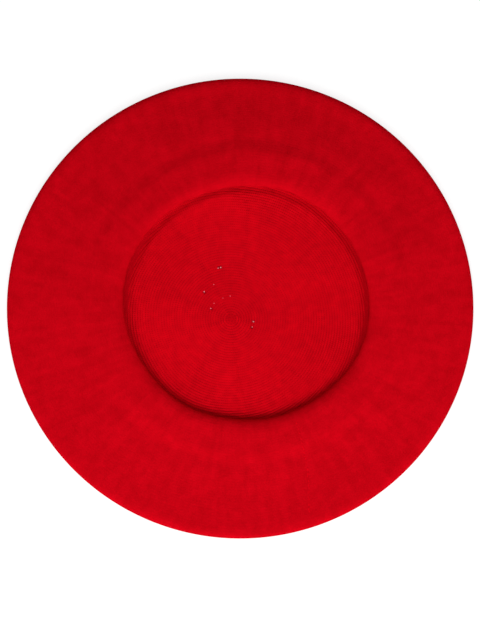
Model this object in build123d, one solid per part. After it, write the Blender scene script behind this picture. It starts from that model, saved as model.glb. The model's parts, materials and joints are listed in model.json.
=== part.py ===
from build123d import *

import os
from math import atan2, cos, degrees, radians, sin

# A knitted and fulled wool beret lying on its crown, head opening upwards.
# Millimetres. The origin is on the ground under the centre of the crown,
# +Z goes up, out of the head opening.

# ---------------------------------------------------------------- driving dimensions

CLOTH = 2.0                   # thickness of the fulled knit
BERET_RADIUS = 140.0          # the beret lying flat
RIM_HEIGHT = 10.0             # fold between crown and underside, outside
OPENING_RADIUS = 73.0         # head opening with its elastic drawn in
OPENING_CENTRE = (3.9, 3.7)   # the opening lies a little off the crown's centre
OPENING_WALL = 4.0            # straight part of the rolled edge's inner face
ROLL_WIDTH = 7.0              # rolled edge, from the opening outwards
POCKET_GAP = 5.0              # room between the crown and the rolled edge
BAND_WIDTH = 25.0             # turned-in band, from the opening outwards
BAND_RISE = 6.0               # width over which the band closes up under the underside
STEP_WIDTH = 3.0              # the underside drops over the band's edge
STEP_DROP = 1.5

ELASTIC_DIAMETER = 2.8
ELASTIC_CLEARANCE = 0.1

KNIT_CENTRE = (-5.6, -6.3)    # where the knitted wedges meet
STALK_DIAMETER = 2.2
STALK_LENGTH = 8.0            # from the bend at its root to its tip
STALK_DIRECTION = 234.5       # degrees, the way the folded stalk points
STALK_CLEARANCE = 0.3         # over the folded stalk
STALK_SIDE_ROOM = 0.6         # beside the folded stalk
STALK_LIFT = 0.1              # the folded stalk stays this far above the ground
DIMPLE_FLARE = 1.5            # the dimple's mouth is this much wider than its roof

GATHER_RADIUS = 2.3           # ring of thread that draws the centre loops together
GATHER_THREAD = 0.7
KNOT_RADIUS = 1.2

THREAD = 0.7                  # thickness of the sewn stitches
STITCH_WIDTH = 0.9
STITCH_REACH = 4.0            # how far a stitch runs in from the band's edge
BAND_STITCHES = 60
STITCH_CLEARANCE = 0.05

SEAM_SWIRL = 17.6             # degrees that the closing seam turns from centre to rim
SEAM_CENTRE_ANGLE = 270.0     # its direction at the knit centre
SEAM_OPENING_ANGLE = 293.0    # its direction at the inner band
SEAM_STITCH = 4.0             # length of one seam stitch
SEAM_PITCH = 5.2
SEAM_YARN = 1.0
SEAM_MARGIN = 5.0             # the seam stays this far from the dimple and the rim

# ---------------------------------------------------------------- worked out from those

fold_radius = RIM_HEIGHT / 2
flat_radius = BERET_RADIUS - fold_radius
roll_height = 2 * CLOTH + ELASTIC_DIAMETER + 2 * ELASTIC_CLEARANCE
roll_bottom = CLOTH + POCKET_GAP
roll_top = roll_bottom + roll_height
roll_middle = roll_bottom + roll_height / 2
roll_end = OPENING_RADIUS + ROLL_WIDTH
hollow_radius = roll_height / 2 - CLOTH
elastic_ring = OPENING_RADIUS + CLOTH + hollow_radius
band_edge = OPENING_RADIUS + BAND_WIDTH
step_end = band_edge + STEP_WIDTH
step_slope = STEP_DROP / STEP_WIDTH

stalk_run = STALK_LENGTH - STALK_DIAMETER / 2
dimple_height = STALK_LIFT + STALK_DIAMETER + STALK_CLEARANCE
dimple_mouth = STALK_DIAMETER / 2 + STALK_SIDE_ROOM + DIMPLE_FLARE
dimple_taper = degrees(atan2(DIMPLE_FLARE, dimple_height))
bump_top = dimple_height + CLOTH
bump_foot = dimple_mouth + CLOTH


def direction(angle):
    """Horizontal unit vector at an angle in degrees."""
    return Vector(cos(radians(angle)), sin(radians(angle)), 0)


def about_opening(shape):
    """Move a shape made round the Z axis to the head opening's axis."""
    return Pos(*OPENING_CENTRE, 0) * shape


def ring(section):
    """Turn a section, drawn as radius and height, round the Z axis."""
    return revolve(Plane.XZ * section, Axis.Z)


def tapered_slot(radius, height):
    """A slot round the folded stalk's middle line, as wide as radius at its foot and leaning in."""
    middle = Vector(*KNIT_CENTRE) + direction(STALK_DIRECTION) * (stalk_run / 2)
    slot = Rot(0, 0, STALK_DIRECTION) * SlotCenterToCenter(stalk_run, 2 * radius)
    return Pos(middle.X, middle.Y, 0) * extrude(slot, height, taper=dimple_taper)


def rib(start, end, width, side):
    """A half-round yarn from start to end, flat on the cloth, bulging up (+1) or down (-1)."""
    start, end = Vector(*start), Vector(*end)
    run = end - start
    across = Vector(0, 0, 1).cross(run)
    plane = Plane(origin=start, x_dir=across, z_dir=run)
    half = width / 2
    arc = CenterArc((0, 0), half, 0, 180 * side)
    return extrude(plane * make_face([arc, Line(arc @ 1, arc @ 0)]), run.length)


# ---------------------------------------------------------------- the knitted body

def make_crown():
    """The flat crown, with the dimple at its centre that the folded stalk lies in."""
    disc = Cylinder(flat_radius, CLOTH, align=(Align.CENTER, Align.CENTER, Align.MIN))
    bump = Pos(0, 0, CLOTH) * tapered_slot(bump_foot, dimple_height)
    return disc + bump - tapered_slot(dimple_mouth, dimple_height)


def make_rim_fold():
    """The soft fold where the crown turns back into the underside."""
    tube = Circle(fold_radius) - Circle(fold_radius - CLOTH)
    outer_half = Pos(fold_radius / 2, 0) * Rectangle(fold_radius, RIM_HEIGHT)
    return ring(Pos(flat_radius, fold_radius) * (tube & outer_half))


def underside_stations():
    """Circles of the underside's lower face, from the rolled edge out to the rim."""
    low = roll_top - CLOTH
    return [
        (OPENING_CENTRE, roll_end, low),
        (OPENING_CENTRE, band_edge, low),
        (OPENING_CENTRE, step_end, low - STEP_DROP),
        ((0, 0), flat_radius, RIM_HEIGHT - CLOTH),
    ]


def make_underside():
    """The ring between rim and opening, leaning from the one's centre to the other's."""
    def circle(station, lift):
        (x, y), radius, z = station
        return Edge.make_circle(radius, Plane(origin=(x, y, z + lift)))

    stations = underside_stations()
    lower = [circle(station, 0) for station in stations]
    upper = [circle(station, CLOTH) for station in stations]
    outline = lower + upper[::-1]
    pairs = zip(outline, outline[1:] + outline[:1])
    return Solid(Shell([Face.make_surface_from_curves(a, b) for a, b in pairs]))


def make_opening_roll():
    """The edge of the head opening, folded over the elastic and left open outwards."""
    middle = (OPENING_RADIUS + roll_end) / 2
    outer = Pos(middle, roll_middle) * Rectangle(ROLL_WIDTH, roll_height)
    corner = (roll_height - OPENING_WALL) / 2
    outer = fillet(outer.vertices().sort_by(Axis.X)[:2], corner)
    reach = roll_end - elastic_ring
    hollow = Pos(elastic_ring, roll_middle) * Circle(hollow_radius)
    hollow += Pos(elastic_ring + reach / 2, roll_middle) * Rectangle(reach, 2 * hollow_radius)
    return about_opening(ring(outer - hollow))


def make_inner_band():
    """The band turned in under the underside, closing up against it."""
    top = roll_top - CLOTH
    leg_top = roll_bottom + CLOTH
    closed = roll_end + BAND_RISE
    outline = Polyline(
        (roll_end, leg_top),
        (roll_end, roll_bottom),
        (closed, top - CLOTH),
        (band_edge, top - CLOTH),
        (band_edge, top),
        (closed, top),
        close=True,
    )
    return about_opening(ring(make_face(outline)))


# ---------------------------------------------------------------- elastic, threads and stalk

def make_elastic_cord():
    """The round elastic inside the rolled edge."""
    section = Pos(elastic_ring, roll_middle) * Circle(ELASTIC_DIAMETER / 2)
    return about_opening(ring(section))


def make_band_stitching():
    """Small hooked stitches that hold the band's edge up."""
    low = roll_top - 2 * CLOTH
    high = roll_top - CLOTH - THREAD * step_slope - STITCH_CLEARANCE
    start = band_edge - STITCH_REACH
    outline = Polyline(
        (start, low - THREAD),
        (band_edge + THREAD, low - THREAD),
        (band_edge + THREAD, high),
        (band_edge, high),
        (band_edge, low),
        (start, low),
        close=True,
    )
    hook = extrude(Plane.XZ * make_face(outline), STITCH_WIDTH / 2, both=True)
    turn = 360 / BAND_STITCHES
    return about_opening(Compound([Rot(0, 0, turn * i) * hook for i in range(BAND_STITCHES)]))


def crown_seam_point(distance):
    """Where the closing seam lies on the crown, at a distance from the knit centre."""
    share = distance / BERET_RADIUS
    angle = SEAM_CENTRE_ANGLE + SEAM_SWIRL * share**0.6
    place = Vector(*KNIT_CENTRE) * (1 - share) + direction(angle) * distance
    return (place.X, place.Y, CLOTH + STITCH_CLEARANCE)


def underside_seam_point(share):
    """Where the seam lies under the underside, from the band's step (0) to the rim (1)."""
    inner, outer = underside_stations()[2:]
    rim_angle = SEAM_CENTRE_ANGLE + SEAM_SWIRL
    ray = direction(SEAM_OPENING_ANGLE + (rim_angle - SEAM_OPENING_ANGLE) * share)

    def on(station):
        (x, y), radius, z = station
        return Vector(x, y, z - STITCH_CLEARANCE) + ray * radius

    place = on(inner) * (1 - share) + on(outer) * share
    return (place.X, place.Y, place.Z)


def make_linking_seam():
    """The yarn that links the last knitted wedge to the first, on the inside of the cloth."""
    stitches = []
    start = bump_foot + STALK_LENGTH
    count = int((flat_radius - SEAM_MARGIN - start) / SEAM_PITCH)
    for i in range(count):
        near = start + SEAM_PITCH * i
        ends = crown_seam_point(near), crown_seam_point(near + SEAM_STITCH)
        stitches.append(rib(*ends, SEAM_YARN, 1))
    run = flat_radius - SEAM_MARGIN - step_end
    first = min(SEAM_PITCH / 2, (run - SEAM_STITCH) / 2)
    for i in range(int((run - first - SEAM_STITCH) / SEAM_PITCH) + 1):
        near = first + SEAM_PITCH * i
        far = near + SEAM_STITCH
        ends = underside_seam_point(near / run), underside_seam_point(far / run)
        stitches.append(rib(*ends, SEAM_YARN, -1))
    return Compound(stitches)


def make_stalk():
    """The short stalk, folded flat in its dimple and free to stand out of the crown."""
    radius = STALK_DIAMETER / 2
    height = STALK_LIFT + radius
    root = Vector(*KNIT_CENTRE, height)
    tip = root + direction(STALK_DIRECTION) * stalk_run
    shaft = extrude(Plane(origin=root, z_dir=tip - root) * Circle(radius), stalk_run)
    return shaft + Pos(*root) * Sphere(radius) + Pos(*tip) * Sphere(radius)


def make_centre_gather():
    """The thread that draws the loops together round the crown's centre, on the inside."""
    return Pos(*KNIT_CENTRE, bump_top + GATHER_THREAD / 2) * Torus(GATHER_RADIUS, GATHER_THREAD / 2)


def make_centre_knot():
    """The knot of that thread, resting on the bump's roof."""
    knot = Pos(*KNIT_CENTRE, bump_top + KNOT_RADIUS / 2) * Sphere(KNOT_RADIUS)
    return split(knot, Plane.XY.offset(bump_top), keep=Keep.TOP)


PARTS = {
    "crown": make_crown,
    "rim_fold": make_rim_fold,
    "underside": make_underside,
    "opening_roll": make_opening_roll,
    "inner_band": make_inner_band,
    "elastic_cord": make_elastic_cord,
    "band_stitching": make_band_stitching,
    "linking_seam": make_linking_seam,
    "centre_gather": make_centre_gather,
    "centre_knot": make_centre_knot,
    "stalk": make_stalk,
}

os.makedirs("parts", exist_ok=True)
for name, make in PARTS.items():
    export_step(make(), f"parts/{name}.step")
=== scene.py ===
"""Looks of a knitted and fulled wool beret, lying on its crown with the head opening upwards.

The cloth is one knitted skin: it runs from the centre of the crown out to the rim, back over the
underside, round the rolled edge of the head opening and ends in a turned-in band. Every place is
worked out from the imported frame, in metres.
"""

import json
import logging
import math
from dataclasses import dataclass
from enum import Enum

import bmesh
import bpy
import numpy as np
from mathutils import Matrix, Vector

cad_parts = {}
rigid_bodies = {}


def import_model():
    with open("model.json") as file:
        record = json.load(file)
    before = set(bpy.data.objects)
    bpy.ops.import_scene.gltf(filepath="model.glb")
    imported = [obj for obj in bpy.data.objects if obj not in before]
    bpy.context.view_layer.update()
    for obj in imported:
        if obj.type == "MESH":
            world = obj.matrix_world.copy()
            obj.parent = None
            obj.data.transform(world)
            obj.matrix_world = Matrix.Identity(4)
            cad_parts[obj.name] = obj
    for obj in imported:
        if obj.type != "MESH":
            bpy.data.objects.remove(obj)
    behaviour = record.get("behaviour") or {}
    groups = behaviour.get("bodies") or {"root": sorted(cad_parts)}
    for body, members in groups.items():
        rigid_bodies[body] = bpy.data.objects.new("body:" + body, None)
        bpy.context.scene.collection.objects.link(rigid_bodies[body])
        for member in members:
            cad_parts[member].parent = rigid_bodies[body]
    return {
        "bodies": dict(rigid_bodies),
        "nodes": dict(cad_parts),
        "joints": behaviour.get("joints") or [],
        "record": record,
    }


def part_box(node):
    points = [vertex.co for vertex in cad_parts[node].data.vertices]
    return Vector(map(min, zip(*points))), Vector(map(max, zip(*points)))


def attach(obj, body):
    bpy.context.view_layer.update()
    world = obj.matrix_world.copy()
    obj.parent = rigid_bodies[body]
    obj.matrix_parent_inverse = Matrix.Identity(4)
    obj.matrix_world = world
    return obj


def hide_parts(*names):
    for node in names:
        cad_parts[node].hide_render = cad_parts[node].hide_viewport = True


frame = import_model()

MM = 0.001
TURN = 2 * math.pi
LOG = logging.getLogger("beret")
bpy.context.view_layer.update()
POINT_ATTRIBUTES = ("upward", "along", "size", "nap")
LEAST_LEAN = 0.55  # share of its lean that the straightest fibre has


# ---------------------------------------------------------------- sizes and paths


@dataclass(frozen=True)
class Pattern:
    """The beret's sizes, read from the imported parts."""

    rim_radius: float
    rim_height: float
    flat_radius: float
    cloth: float
    opening_radius: float
    opening_centre: np.ndarray
    hem_bottom: float
    hem_top: float
    band_edge: float
    knit_centre: np.ndarray
    bump_height: float
    stalk_height: float
    stalk_radius: float
    stalk_length: float
    stalk_heading: float

    @classmethod
    def from_frame(cls, packed: dict) -> "Pattern":
        """Reads the sizes.


        Returns:
            The pattern.
        """
        crown, rim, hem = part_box("crown"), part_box("rim_fold"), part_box("opening_roll")
        band, elastic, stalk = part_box("inner_band"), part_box("elastic_cord"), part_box("stalk")
        opening = next(m for m in packed["record"]["mounts"] if m["name"] == "head_opening")
        bend = next(j for j in packed["record"]["behaviour"]["joints"] if j["name"] == "stalk_bend")
        root = np.array(bend["pos_m"])
        radius = (stalk[1][2] - stalk[0][2]) / 2
        axis = np.array(bend["axis"])
        heading = math.atan2(-axis[0], axis[1])
        middle = (np.array(stalk[0]) + np.array(stalk[1])) / 2
        half_run = float(np.linalg.norm(middle[:2] - root[:2]))
        cloth = (hem[1][2] - hem[0][2] - (elastic[1][2] - elastic[0][2])) / 2 - 0.1 * MM
        return cls(
            rim_radius=(rim[1][0] - rim[0][0]) / 2,
            rim_height=rim[1][2],
            flat_radius=(crown[1][0] - crown[0][0]) / 2,
            cloth=cloth,
            opening_radius=opening["dims"]["r_mm"] * MM,
            opening_centre=np.array(opening["pos_m"][:2]),
            hem_bottom=hem[0][2],
            hem_top=hem[1][2],
            band_edge=(band[1][0] - band[0][0]) / 2,
            knit_centre=root[:2],
            bump_height=crown[1][2] - cloth,
            stalk_height=root[2],
            stalk_radius=radius,
            stalk_length=2 * half_run + radius,
            stalk_heading=heading,
        )


@dataclass(frozen=True)
class Station:
    """A point of the cloth's middle line, with what its ring is centred on.

    reach is the ring's radius and height its level. to_knit and to_opening are the shares of the
    knit's centre and of the opening's centre in the ring's own centre. oval is how much wider than
    round the ring is, and wall is the cloth's thickness there.
    """

    reach: float
    height: float
    to_knit: float = 0.0
    to_opening: float = 0.0
    oval: float = 0.0
    wall: float = 2.0 * MM

    def row(self) -> list:
        """The station as a row of numbers."""
        return [self.reach, self.height, self.to_knit, self.to_opening, self.oval, self.wall]


def smooth_line(rows: np.ndarray, stretches: list) -> tuple:
    """Passes a smooth line through rows and divides it evenly, stretch by stretch.

    Args:
        rows: control rows, whose first two columns are the place.
        stretches: for each stretch the row that ends it and the distance between its samples.

    Returns:
        The samples, with the same columns, and the number of the sample that ends each stretch.
    """
    gaps = np.linalg.norm(np.diff(rows[:, :2], axis=0), axis=1)
    knots = np.concatenate([[0], np.cumsum(gaps)])
    slopes = np.gradient(rows, knots, axis=0)
    fine = np.linspace(0, knots[-1], 6000)
    i = np.clip(np.searchsorted(knots, fine, side="right") - 1, 0, len(knots) - 2)
    width = (knots[i + 1] - knots[i])[:, None]
    t = (fine - knots[i])[:, None] / width
    line = (
        rows[i] * (2 * t**3 - 3 * t**2 + 1)
        + slopes[i] * width * (t**3 - 2 * t**2 + t)
        + rows[i + 1] * (3 * t**2 - 2 * t**3)
        + slopes[i + 1] * width * (t**3 - t**2)
    )
    run = np.concatenate([[0], np.cumsum(np.linalg.norm(np.diff(line[:, :2], axis=0), axis=1))])
    marks, ends, start = [np.zeros(1)], [], 0.0
    for row, step in stretches:
        end = float(np.interp(knots[row], fine, run))
        marks.append(np.linspace(start, end, max(2, round((end - start) / step) + 1))[1:])
        ends.append(sum(len(m) for m in marks) - 1)
        start = end
    even = np.concatenate(marks)
    return np.stack([np.interp(even, run, line[:, k]) for k in range(line.shape[1])], axis=1), ends


def smooth_line_3d(points: np.ndarray, count: int) -> np.ndarray:
    """A smooth line through points.

    Args:
        points: the points.
        count: number of samples.

    Returns:
        The samples.
    """
    knots = np.arange(len(points))
    slopes = np.gradient(points, axis=0)
    fine = np.linspace(0, len(points) - 1, count)
    i = np.clip(fine.astype(int), 0, len(knots) - 2)
    t = (fine - i)[:, None]
    return (
        points[i] * (2 * t**3 - 3 * t**2 + 1)
        + slopes[i] * (t**3 - 2 * t**2 + t)
        + points[i + 1] * (3 * t**2 - 2 * t**3)
        + slopes[i + 1] * (t**3 - t**2)
    )


class Ripple:
    """A gentle, repeatable unevenness of the cloth: a sum of plane waves in all directions."""

    def __init__(self, seed: int, shortest: float, longest: float, height: float, waves: int = 26):
        """Draws the waves.

        Args:
            seed: number that fixes the random draw.
            shortest: shortest wavelength.
            longest: longest wavelength.
            height: about how far the cloth strays from its mean level.
            waves: how many waves are added.
        """
        draw = np.random.default_rng(seed)
        lengths = np.exp(draw.uniform(np.log(shortest), np.log(longest), waves))
        angles = draw.uniform(0, TURN, waves)
        self.numbers = TURN / lengths[:, None] * np.stack([np.cos(angles), np.sin(angles)], axis=1)
        self.phases = draw.uniform(0, TURN, waves)
        sizes = lengths / np.sqrt((lengths**2).sum() / 2)
        self.sizes = sizes * height

    def at(self, x: np.ndarray, y: np.ndarray) -> np.ndarray:
        """The stray from the mean level at each place.

        Args:
            x: places to the east.
            y: places to the north, in the same shape.

        Returns:
            Heights, in the same shape.
        """
        shape = np.shape(x)
        places = np.stack([np.ravel(x), np.ravel(y)], axis=1)
        waves = np.sin(places @ self.numbers.T + self.phases)
        return (waves @ self.sizes).reshape(shape)


class Wedges:
    """The nine knitted wedges and the lines between them, which turn a little towards the rim."""

    COUNT = 9
    CENTRE_ANGLE = math.radians(270.0)
    SWIRL = math.radians(17.6)
    UNDERSIDE_SWIRL = math.radians(5.4)

    def __init__(self, pattern: Pattern):
        """Keeps the pattern whose wedges these are."""
        self.pattern = pattern

    def crown_angle(self, reach: np.ndarray) -> np.ndarray:
        """Angle of the closing seam at a distance from the knit's centre."""
        return self.CENTRE_ANGLE + self.SWIRL * (reach / self.pattern.rim_radius) ** 0.6

    def underside_angle(self, reach: np.ndarray) -> np.ndarray:
        """Angle of the closing seam on the underside.

        Args:
            reach: distance from the beret's centre.

        Returns:
            The seam's angle there, in radians.
        """
        rim, opening = self.pattern.rim_radius, self.pattern.opening_radius
        share = (rim - reach) / (rim - opening)
        return self.CENTRE_ANGLE + self.SWIRL + self.UNDERSIDE_SWIRL * share

    def distance(self, angle: np.ndarray, reach: np.ndarray, seam: np.ndarray) -> np.ndarray:
        """How far a place is from the nearest wedge line, along its own ring.

        Args:
            angle: the place's angle round the centre.
            reach: its distance from the centre.
            seam: the closing seam's angle at that distance.

        Returns:
            The distance to the nearest line.
        """
        step = TURN / self.COUNT
        off = (angle - seam + step / 2) % step - step / 2
        return np.abs(off) * reach

    def groove(self, away: np.ndarray, width: float) -> np.ndarray:
        """Depth, from 0 to 1, of the soft line that a wedge leaves."""
        return np.exp(-((away / width) ** 2))


# ---------------------------------------------------------------- mesh helpers


def new_piece(name: str, points: np.ndarray, faces: list) -> bpy.types.Object:
    """Makes a smoothly shaded mesh object from points and faces.

    Args:
        name: the piece's name.
        points: vertex places.
        faces: tuples of vertex numbers, seen from outside.

    Returns:
        The object, linked to the scene.
    """
    mesh = bpy.data.meshes.new(name)
    mesh.from_pydata([tuple(p) for p in np.asarray(points, float)], [], [tuple(f) for f in faces])
    mesh.validate()
    mesh.polygons.foreach_set("use_smooth", [True] * len(mesh.polygons))
    mesh.update()
    piece = bpy.data.objects.new(name, mesh)
    bpy.context.scene.collection.objects.link(piece)
    return piece


def grid_faces(rings: int, around: int, first: int = 0, flip: bool = False) -> np.ndarray:
    """Quads between rings of vertices that close on themselves.

    Args:
        rings: number of rings.
        around: vertices in a ring.
        first: number of the first vertex.
        flip: turns the faces round.

    Returns:
        An array of quads.
    """
    ring, at = np.meshgrid(np.arange(rings - 1), np.arange(around), indexing="ij")
    after = (at + 1) % around
    quads = np.stack(
        [ring * around + at, ring * around + after, (ring + 1) * around + after, (ring + 1) * around + at],
        axis=-1,
    ).reshape(-1, 4)
    return first + (quads[:, ::-1] if flip else quads)


def tube(path: np.ndarray, radius: np.ndarray, sides: int, closed: bool) -> tuple:
    """A round tube along a path.

    Args:
        path: points of the middle line.
        radius: radius at each point, or one for all.
        sides: corners of the section.
        closed: whether the path ends where it starts.

    Returns:
        The tube's points and faces.
    """
    count = len(path)
    radii = np.broadcast_to(radius, (count,))
    if closed:
        ahead = np.roll(path, -1, axis=0) - np.roll(path, 1, axis=0)
    else:
        ahead = np.gradient(path, axis=0)
    ahead /= np.linalg.norm(ahead, axis=1)[:, None]
    side = np.cross(ahead[0], [0.31, 0.17, 0.94])
    frames = []
    for direction in ahead:
        side = side - direction * side.dot(direction)
        side /= np.linalg.norm(side)
        frames.append((side, np.cross(direction, side)))
    angles = np.linspace(0, TURN, sides, endpoint=False)
    points = [
        place + r * (math.cos(a) * across + math.sin(a) * up)
        for place, r, (across, up) in zip(path, radii, frames)
        for a in angles
    ]
    faces = whole(grid_faces(count, sides))
    if closed:
        last = (count - 1) * sides
        gaps = [np.linalg.norm(np.array(points[last]) - points[k]) for k in range(sides)]
        turn = int(np.argmin(gaps))
        for k in range(sides):
            n = (k + 1) % sides
            faces.append((last + k, last + n, (n + turn) % sides, (k + turn) % sides))
    else:
        faces.append(tuple(range(sides - 1, -1, -1)))
        faces.append(tuple(range((count - 1) * sides, count * sides)))
    return np.array(points), faces


def whole(faces: np.ndarray) -> list:
    """Faces as tuples of plain whole numbers."""
    return [tuple(int(v) for v in face) for face in faces]


def joined(parts: list) -> tuple:
    """Several sets of points and faces as one.

    Args:
        parts: pairs of points and faces.

    Returns:
        All the points and all the faces, renumbered.
    """
    points, faces, first = [], [], 0
    for places, sides in parts:
        points.append(places)
        faces += [tuple(int(v) + first for v in face) for face in sides]
        first += len(places)
    return np.concatenate(points), faces


def bmesh_from(mesh: bpy.types.Mesh) -> bmesh.types.BMesh:
    """Opens a mesh for editing.

    Args:
        mesh: the mesh.

    Returns:
        Its editable copy.
    """
    work = bmesh.new()
    work.from_mesh(mesh)
    return work


def bmesh_to(work: bmesh.types.BMesh, mesh: bpy.types.Mesh) -> None:
    """Writes an edited mesh back and closes it.

    Args:
        work: the editable copy.
        mesh: the mesh that it came from.
    """
    work.to_mesh(mesh)
    work.free()
    mesh.update()


def tidy_normals(mesh: bpy.types.Mesh) -> None:
    """Turns every face of a closed mesh outwards.

    Args:
        mesh: the mesh.
    """
    work = bmesh_from(mesh)
    bmesh.ops.recalc_face_normals(work, faces=work.faces)
    bmesh_to(work, mesh)


def dressed(
    name: str, points: np.ndarray, faces: list, material: bpy.types.Material
) -> bpy.types.Object:
    """Makes a closed piece of one material, with its faces outwards.

    Args:
        name: the piece's name.
        points: vertex places.
        faces: tuples of vertex numbers.
        material: its material.

    Returns:
        The piece.
    """
    piece = new_piece(name, points, faces)
    piece.data.materials.append(material)
    tidy_normals(piece.data)
    return piece


def give(piece: bpy.types.Object, name: str, values: np.ndarray) -> None:
    """Writes a number or a vector for each point of a piece.

    Args:
        piece: the piece.
        name: the attribute's name.
        values: one number or one vector for each point.
    """
    kind, field = ("FLOAT", "value") if values.ndim == 1 else ("FLOAT_VECTOR", "vector")
    layer = piece.data.attributes.new(name, kind, "POINT")
    layer.data.foreach_set(field, values.astype(np.float32).ravel())


# ---------------------------------------------------------------- node trees


class Tree:
    """A node tree being built, for Geometry Nodes, a shader group or a material."""

    def __init__(self, tree: bpy.types.NodeTree):
        """Wraps a tree."""
        self.tree = tree

    def add(self, kind: str, settings: dict = None, **inputs) -> bpy.types.Node:
        """Adds a node.

        Args:
            kind: the node's type.
            settings: properties to set on it.
            inputs: values or sockets for its inputs; spaces in a name are written as underscores.

        Returns:
            The node.
        """
        node = self.tree.nodes.new(kind)
        for key, value in (settings or {}).items():
            setattr(node, key, value)
        for key, value in inputs.items():
            name = key.replace("_", " ")
            socket = node.inputs[int(key[1:])] if key[0] == "i" and key[1:].isdigit() else node.inputs[name]
            self.feed(socket, value)
        return node

    def feed(self, socket: bpy.types.NodeSocket, value: object) -> None:
        """Links a socket or sets its value.

        Args:
            socket: the input.
            value: another node's output, or a plain value.
        """
        if isinstance(value, bpy.types.NodeSocket):
            self.tree.links.new(value, socket)
        else:
            socket.default_value = value

    def maths(self, operation: str, first: object, second: object = 0.0) -> bpy.types.NodeSocket:
        """A sum, product or other operation on two numbers."""
        return self.add("ShaderNodeMath", {"operation": operation}, i0=first, i1=second).outputs[0]

    def seen_by_camera(self) -> bpy.types.NodeSocket:
        """1 for camera, glossy and transmission rays, and 0 for the light on the beret.

        Returns:
            The number.
        """
        path = self.add("ShaderNodeLightPath")
        seen = self.maths("MAXIMUM", path.outputs["Is Camera Ray"], path.outputs["Is Glossy Ray"])
        return self.maths("MAXIMUM", seen, path.outputs["Is Transmission Ray"])


def geometry_tree(name: str, inputs: dict) -> tuple:
    """Starts a Geometry Nodes tree with named inputs.

    Args:
        name: the tree's name.
        inputs: socket names and kinds.

    Returns:
        The tree, its group input and its group output.
    """
    group = bpy.data.node_groups.new(name, "GeometryNodeTree")
    group.interface.new_socket("Geometry", in_out="INPUT", socket_type="NodeSocketGeometry")
    group.interface.new_socket("Geometry", in_out="OUTPUT", socket_type="NodeSocketGeometry")
    for socket, kind in inputs.items():
        group.interface.new_socket(socket, in_out="INPUT", socket_type=f"NodeSocket{kind}")
    tree = Tree(group)
    return tree, tree.add("NodeGroupInput"), tree.add("NodeGroupOutput")


def close_tree(
    tree: Tree, geometry: bpy.types.NodeSocket, source: bpy.types.Node, end: bpy.types.Node
) -> None:
    """Ends a tree in Realize Instances and Set Material.

    Args:
        tree: the tree.
        geometry: what it has made.
        source: its group input, which has a Material.
        end: its group output.
    """
    real = tree.add("GeometryNodeRealizeInstances", Geometry=geometry)
    painted = tree.add(
        "GeometryNodeSetMaterial", Geometry=real.outputs[0], Material=source.outputs["Material"]
    )
    tree.feed(end.inputs["Geometry"], painted.outputs[0])


def run_tree(
    name: str, base: bpy.types.Object, group: bpy.types.NodeTree, values: dict
) -> bpy.types.Object:
    """Runs a Geometry Nodes tree on an object and keeps the result as a plain mesh.

    Args:
        name: the new piece's name.
        base: the object that the tree starts from. It is used up.
        group: the tree.
        values: values of the tree's named inputs. Objects among them are used up too.

    Returns:
        The new piece.
    """
    modifier = base.modifiers.new("grow", "NODES")
    modifier.node_group = group
    for socket in group.interface.items_tree:
        if socket.in_out == "INPUT" and socket.name in values:
            modifier[socket.identifier] = values[socket.name]
    base.update_tag()
    graph = bpy.context.evaluated_depsgraph_get()
    mesh = bpy.data.meshes.new_from_object(base.evaluated_get(graph), depsgraph=graph)
    base.modifiers.remove(modifier)
    mesh.name = name
    if not mesh.materials:
        mesh.materials.append(values["Material"])
    mesh.polygons.foreach_set("use_smooth", [True] * len(mesh.polygons))
    for attribute in [a.name for a in mesh.attributes if a.name in POINT_ATTRIBUTES]:
        mesh.attributes.remove(mesh.attributes[attribute])
    piece = bpy.data.objects.new(name, mesh)
    bpy.context.scene.collection.objects.link(piece)
    bpy.data.objects.remove(base)
    for value in values.values():
        if isinstance(value, bpy.types.Object):
            bpy.data.objects.remove(value)
    return piece


def placing_tree() -> bpy.types.NodeTree:
    """The tree that sets a shape on every point, turned along its own row and off the cloth.

    Returns:
        The tree. A point's attributes are upward, along and size.
    """
    tree, source, end = geometry_tree(
        "set_on_points",
        {"Shape": "Object", "Unevenness": "Float", "Seed": "Int", "Material": "Material"},
    )
    shape = tree.add("GeometryNodeObjectInfo", Object=source.outputs["Shape"])

    def attribute(name: str, kind: str) -> bpy.types.NodeSocket:
        """A named attribute of the points."""
        node = tree.add("GeometryNodeInputNamedAttribute", {"data_type": kind}, Name=name)
        return node.outputs["Attribute"]

    upward = attribute("upward", "FLOAT_VECTOR")
    stand = tree.add("FunctionNodeAlignRotationToVector", {"axis": "Z"}, Vector=upward)
    turned = tree.add(
        "FunctionNodeAlignRotationToVector",
        {"axis": "X", "pivot_axis": "Z"},
        Rotation=stand.outputs[0],
        Vector=attribute("along", "FLOAT_VECTOR"),
    )
    low = tree.maths("SUBTRACT", 1.0, source.outputs["Unevenness"])
    high = tree.maths("ADD", 1.0, source.outputs["Unevenness"])
    vary = tree.add("FunctionNodeRandomValue", {"data_type": "FLOAT"}, Seed=source.outputs["Seed"])
    tree.feed(vary.inputs[2], low)
    tree.feed(vary.inputs[3], high)
    size = tree.maths("MULTIPLY", vary.outputs[1], attribute("size", "FLOAT"))
    placed = tree.add(
        "GeometryNodeInstanceOnPoints",
        Points=source.outputs["Geometry"],
        Instance=shape.outputs["Geometry"],
        Rotation=turned.outputs[0],
        Scale=size,
    )
    close_tree(tree, placed.outputs[0], source, end)
    return tree.tree


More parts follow.
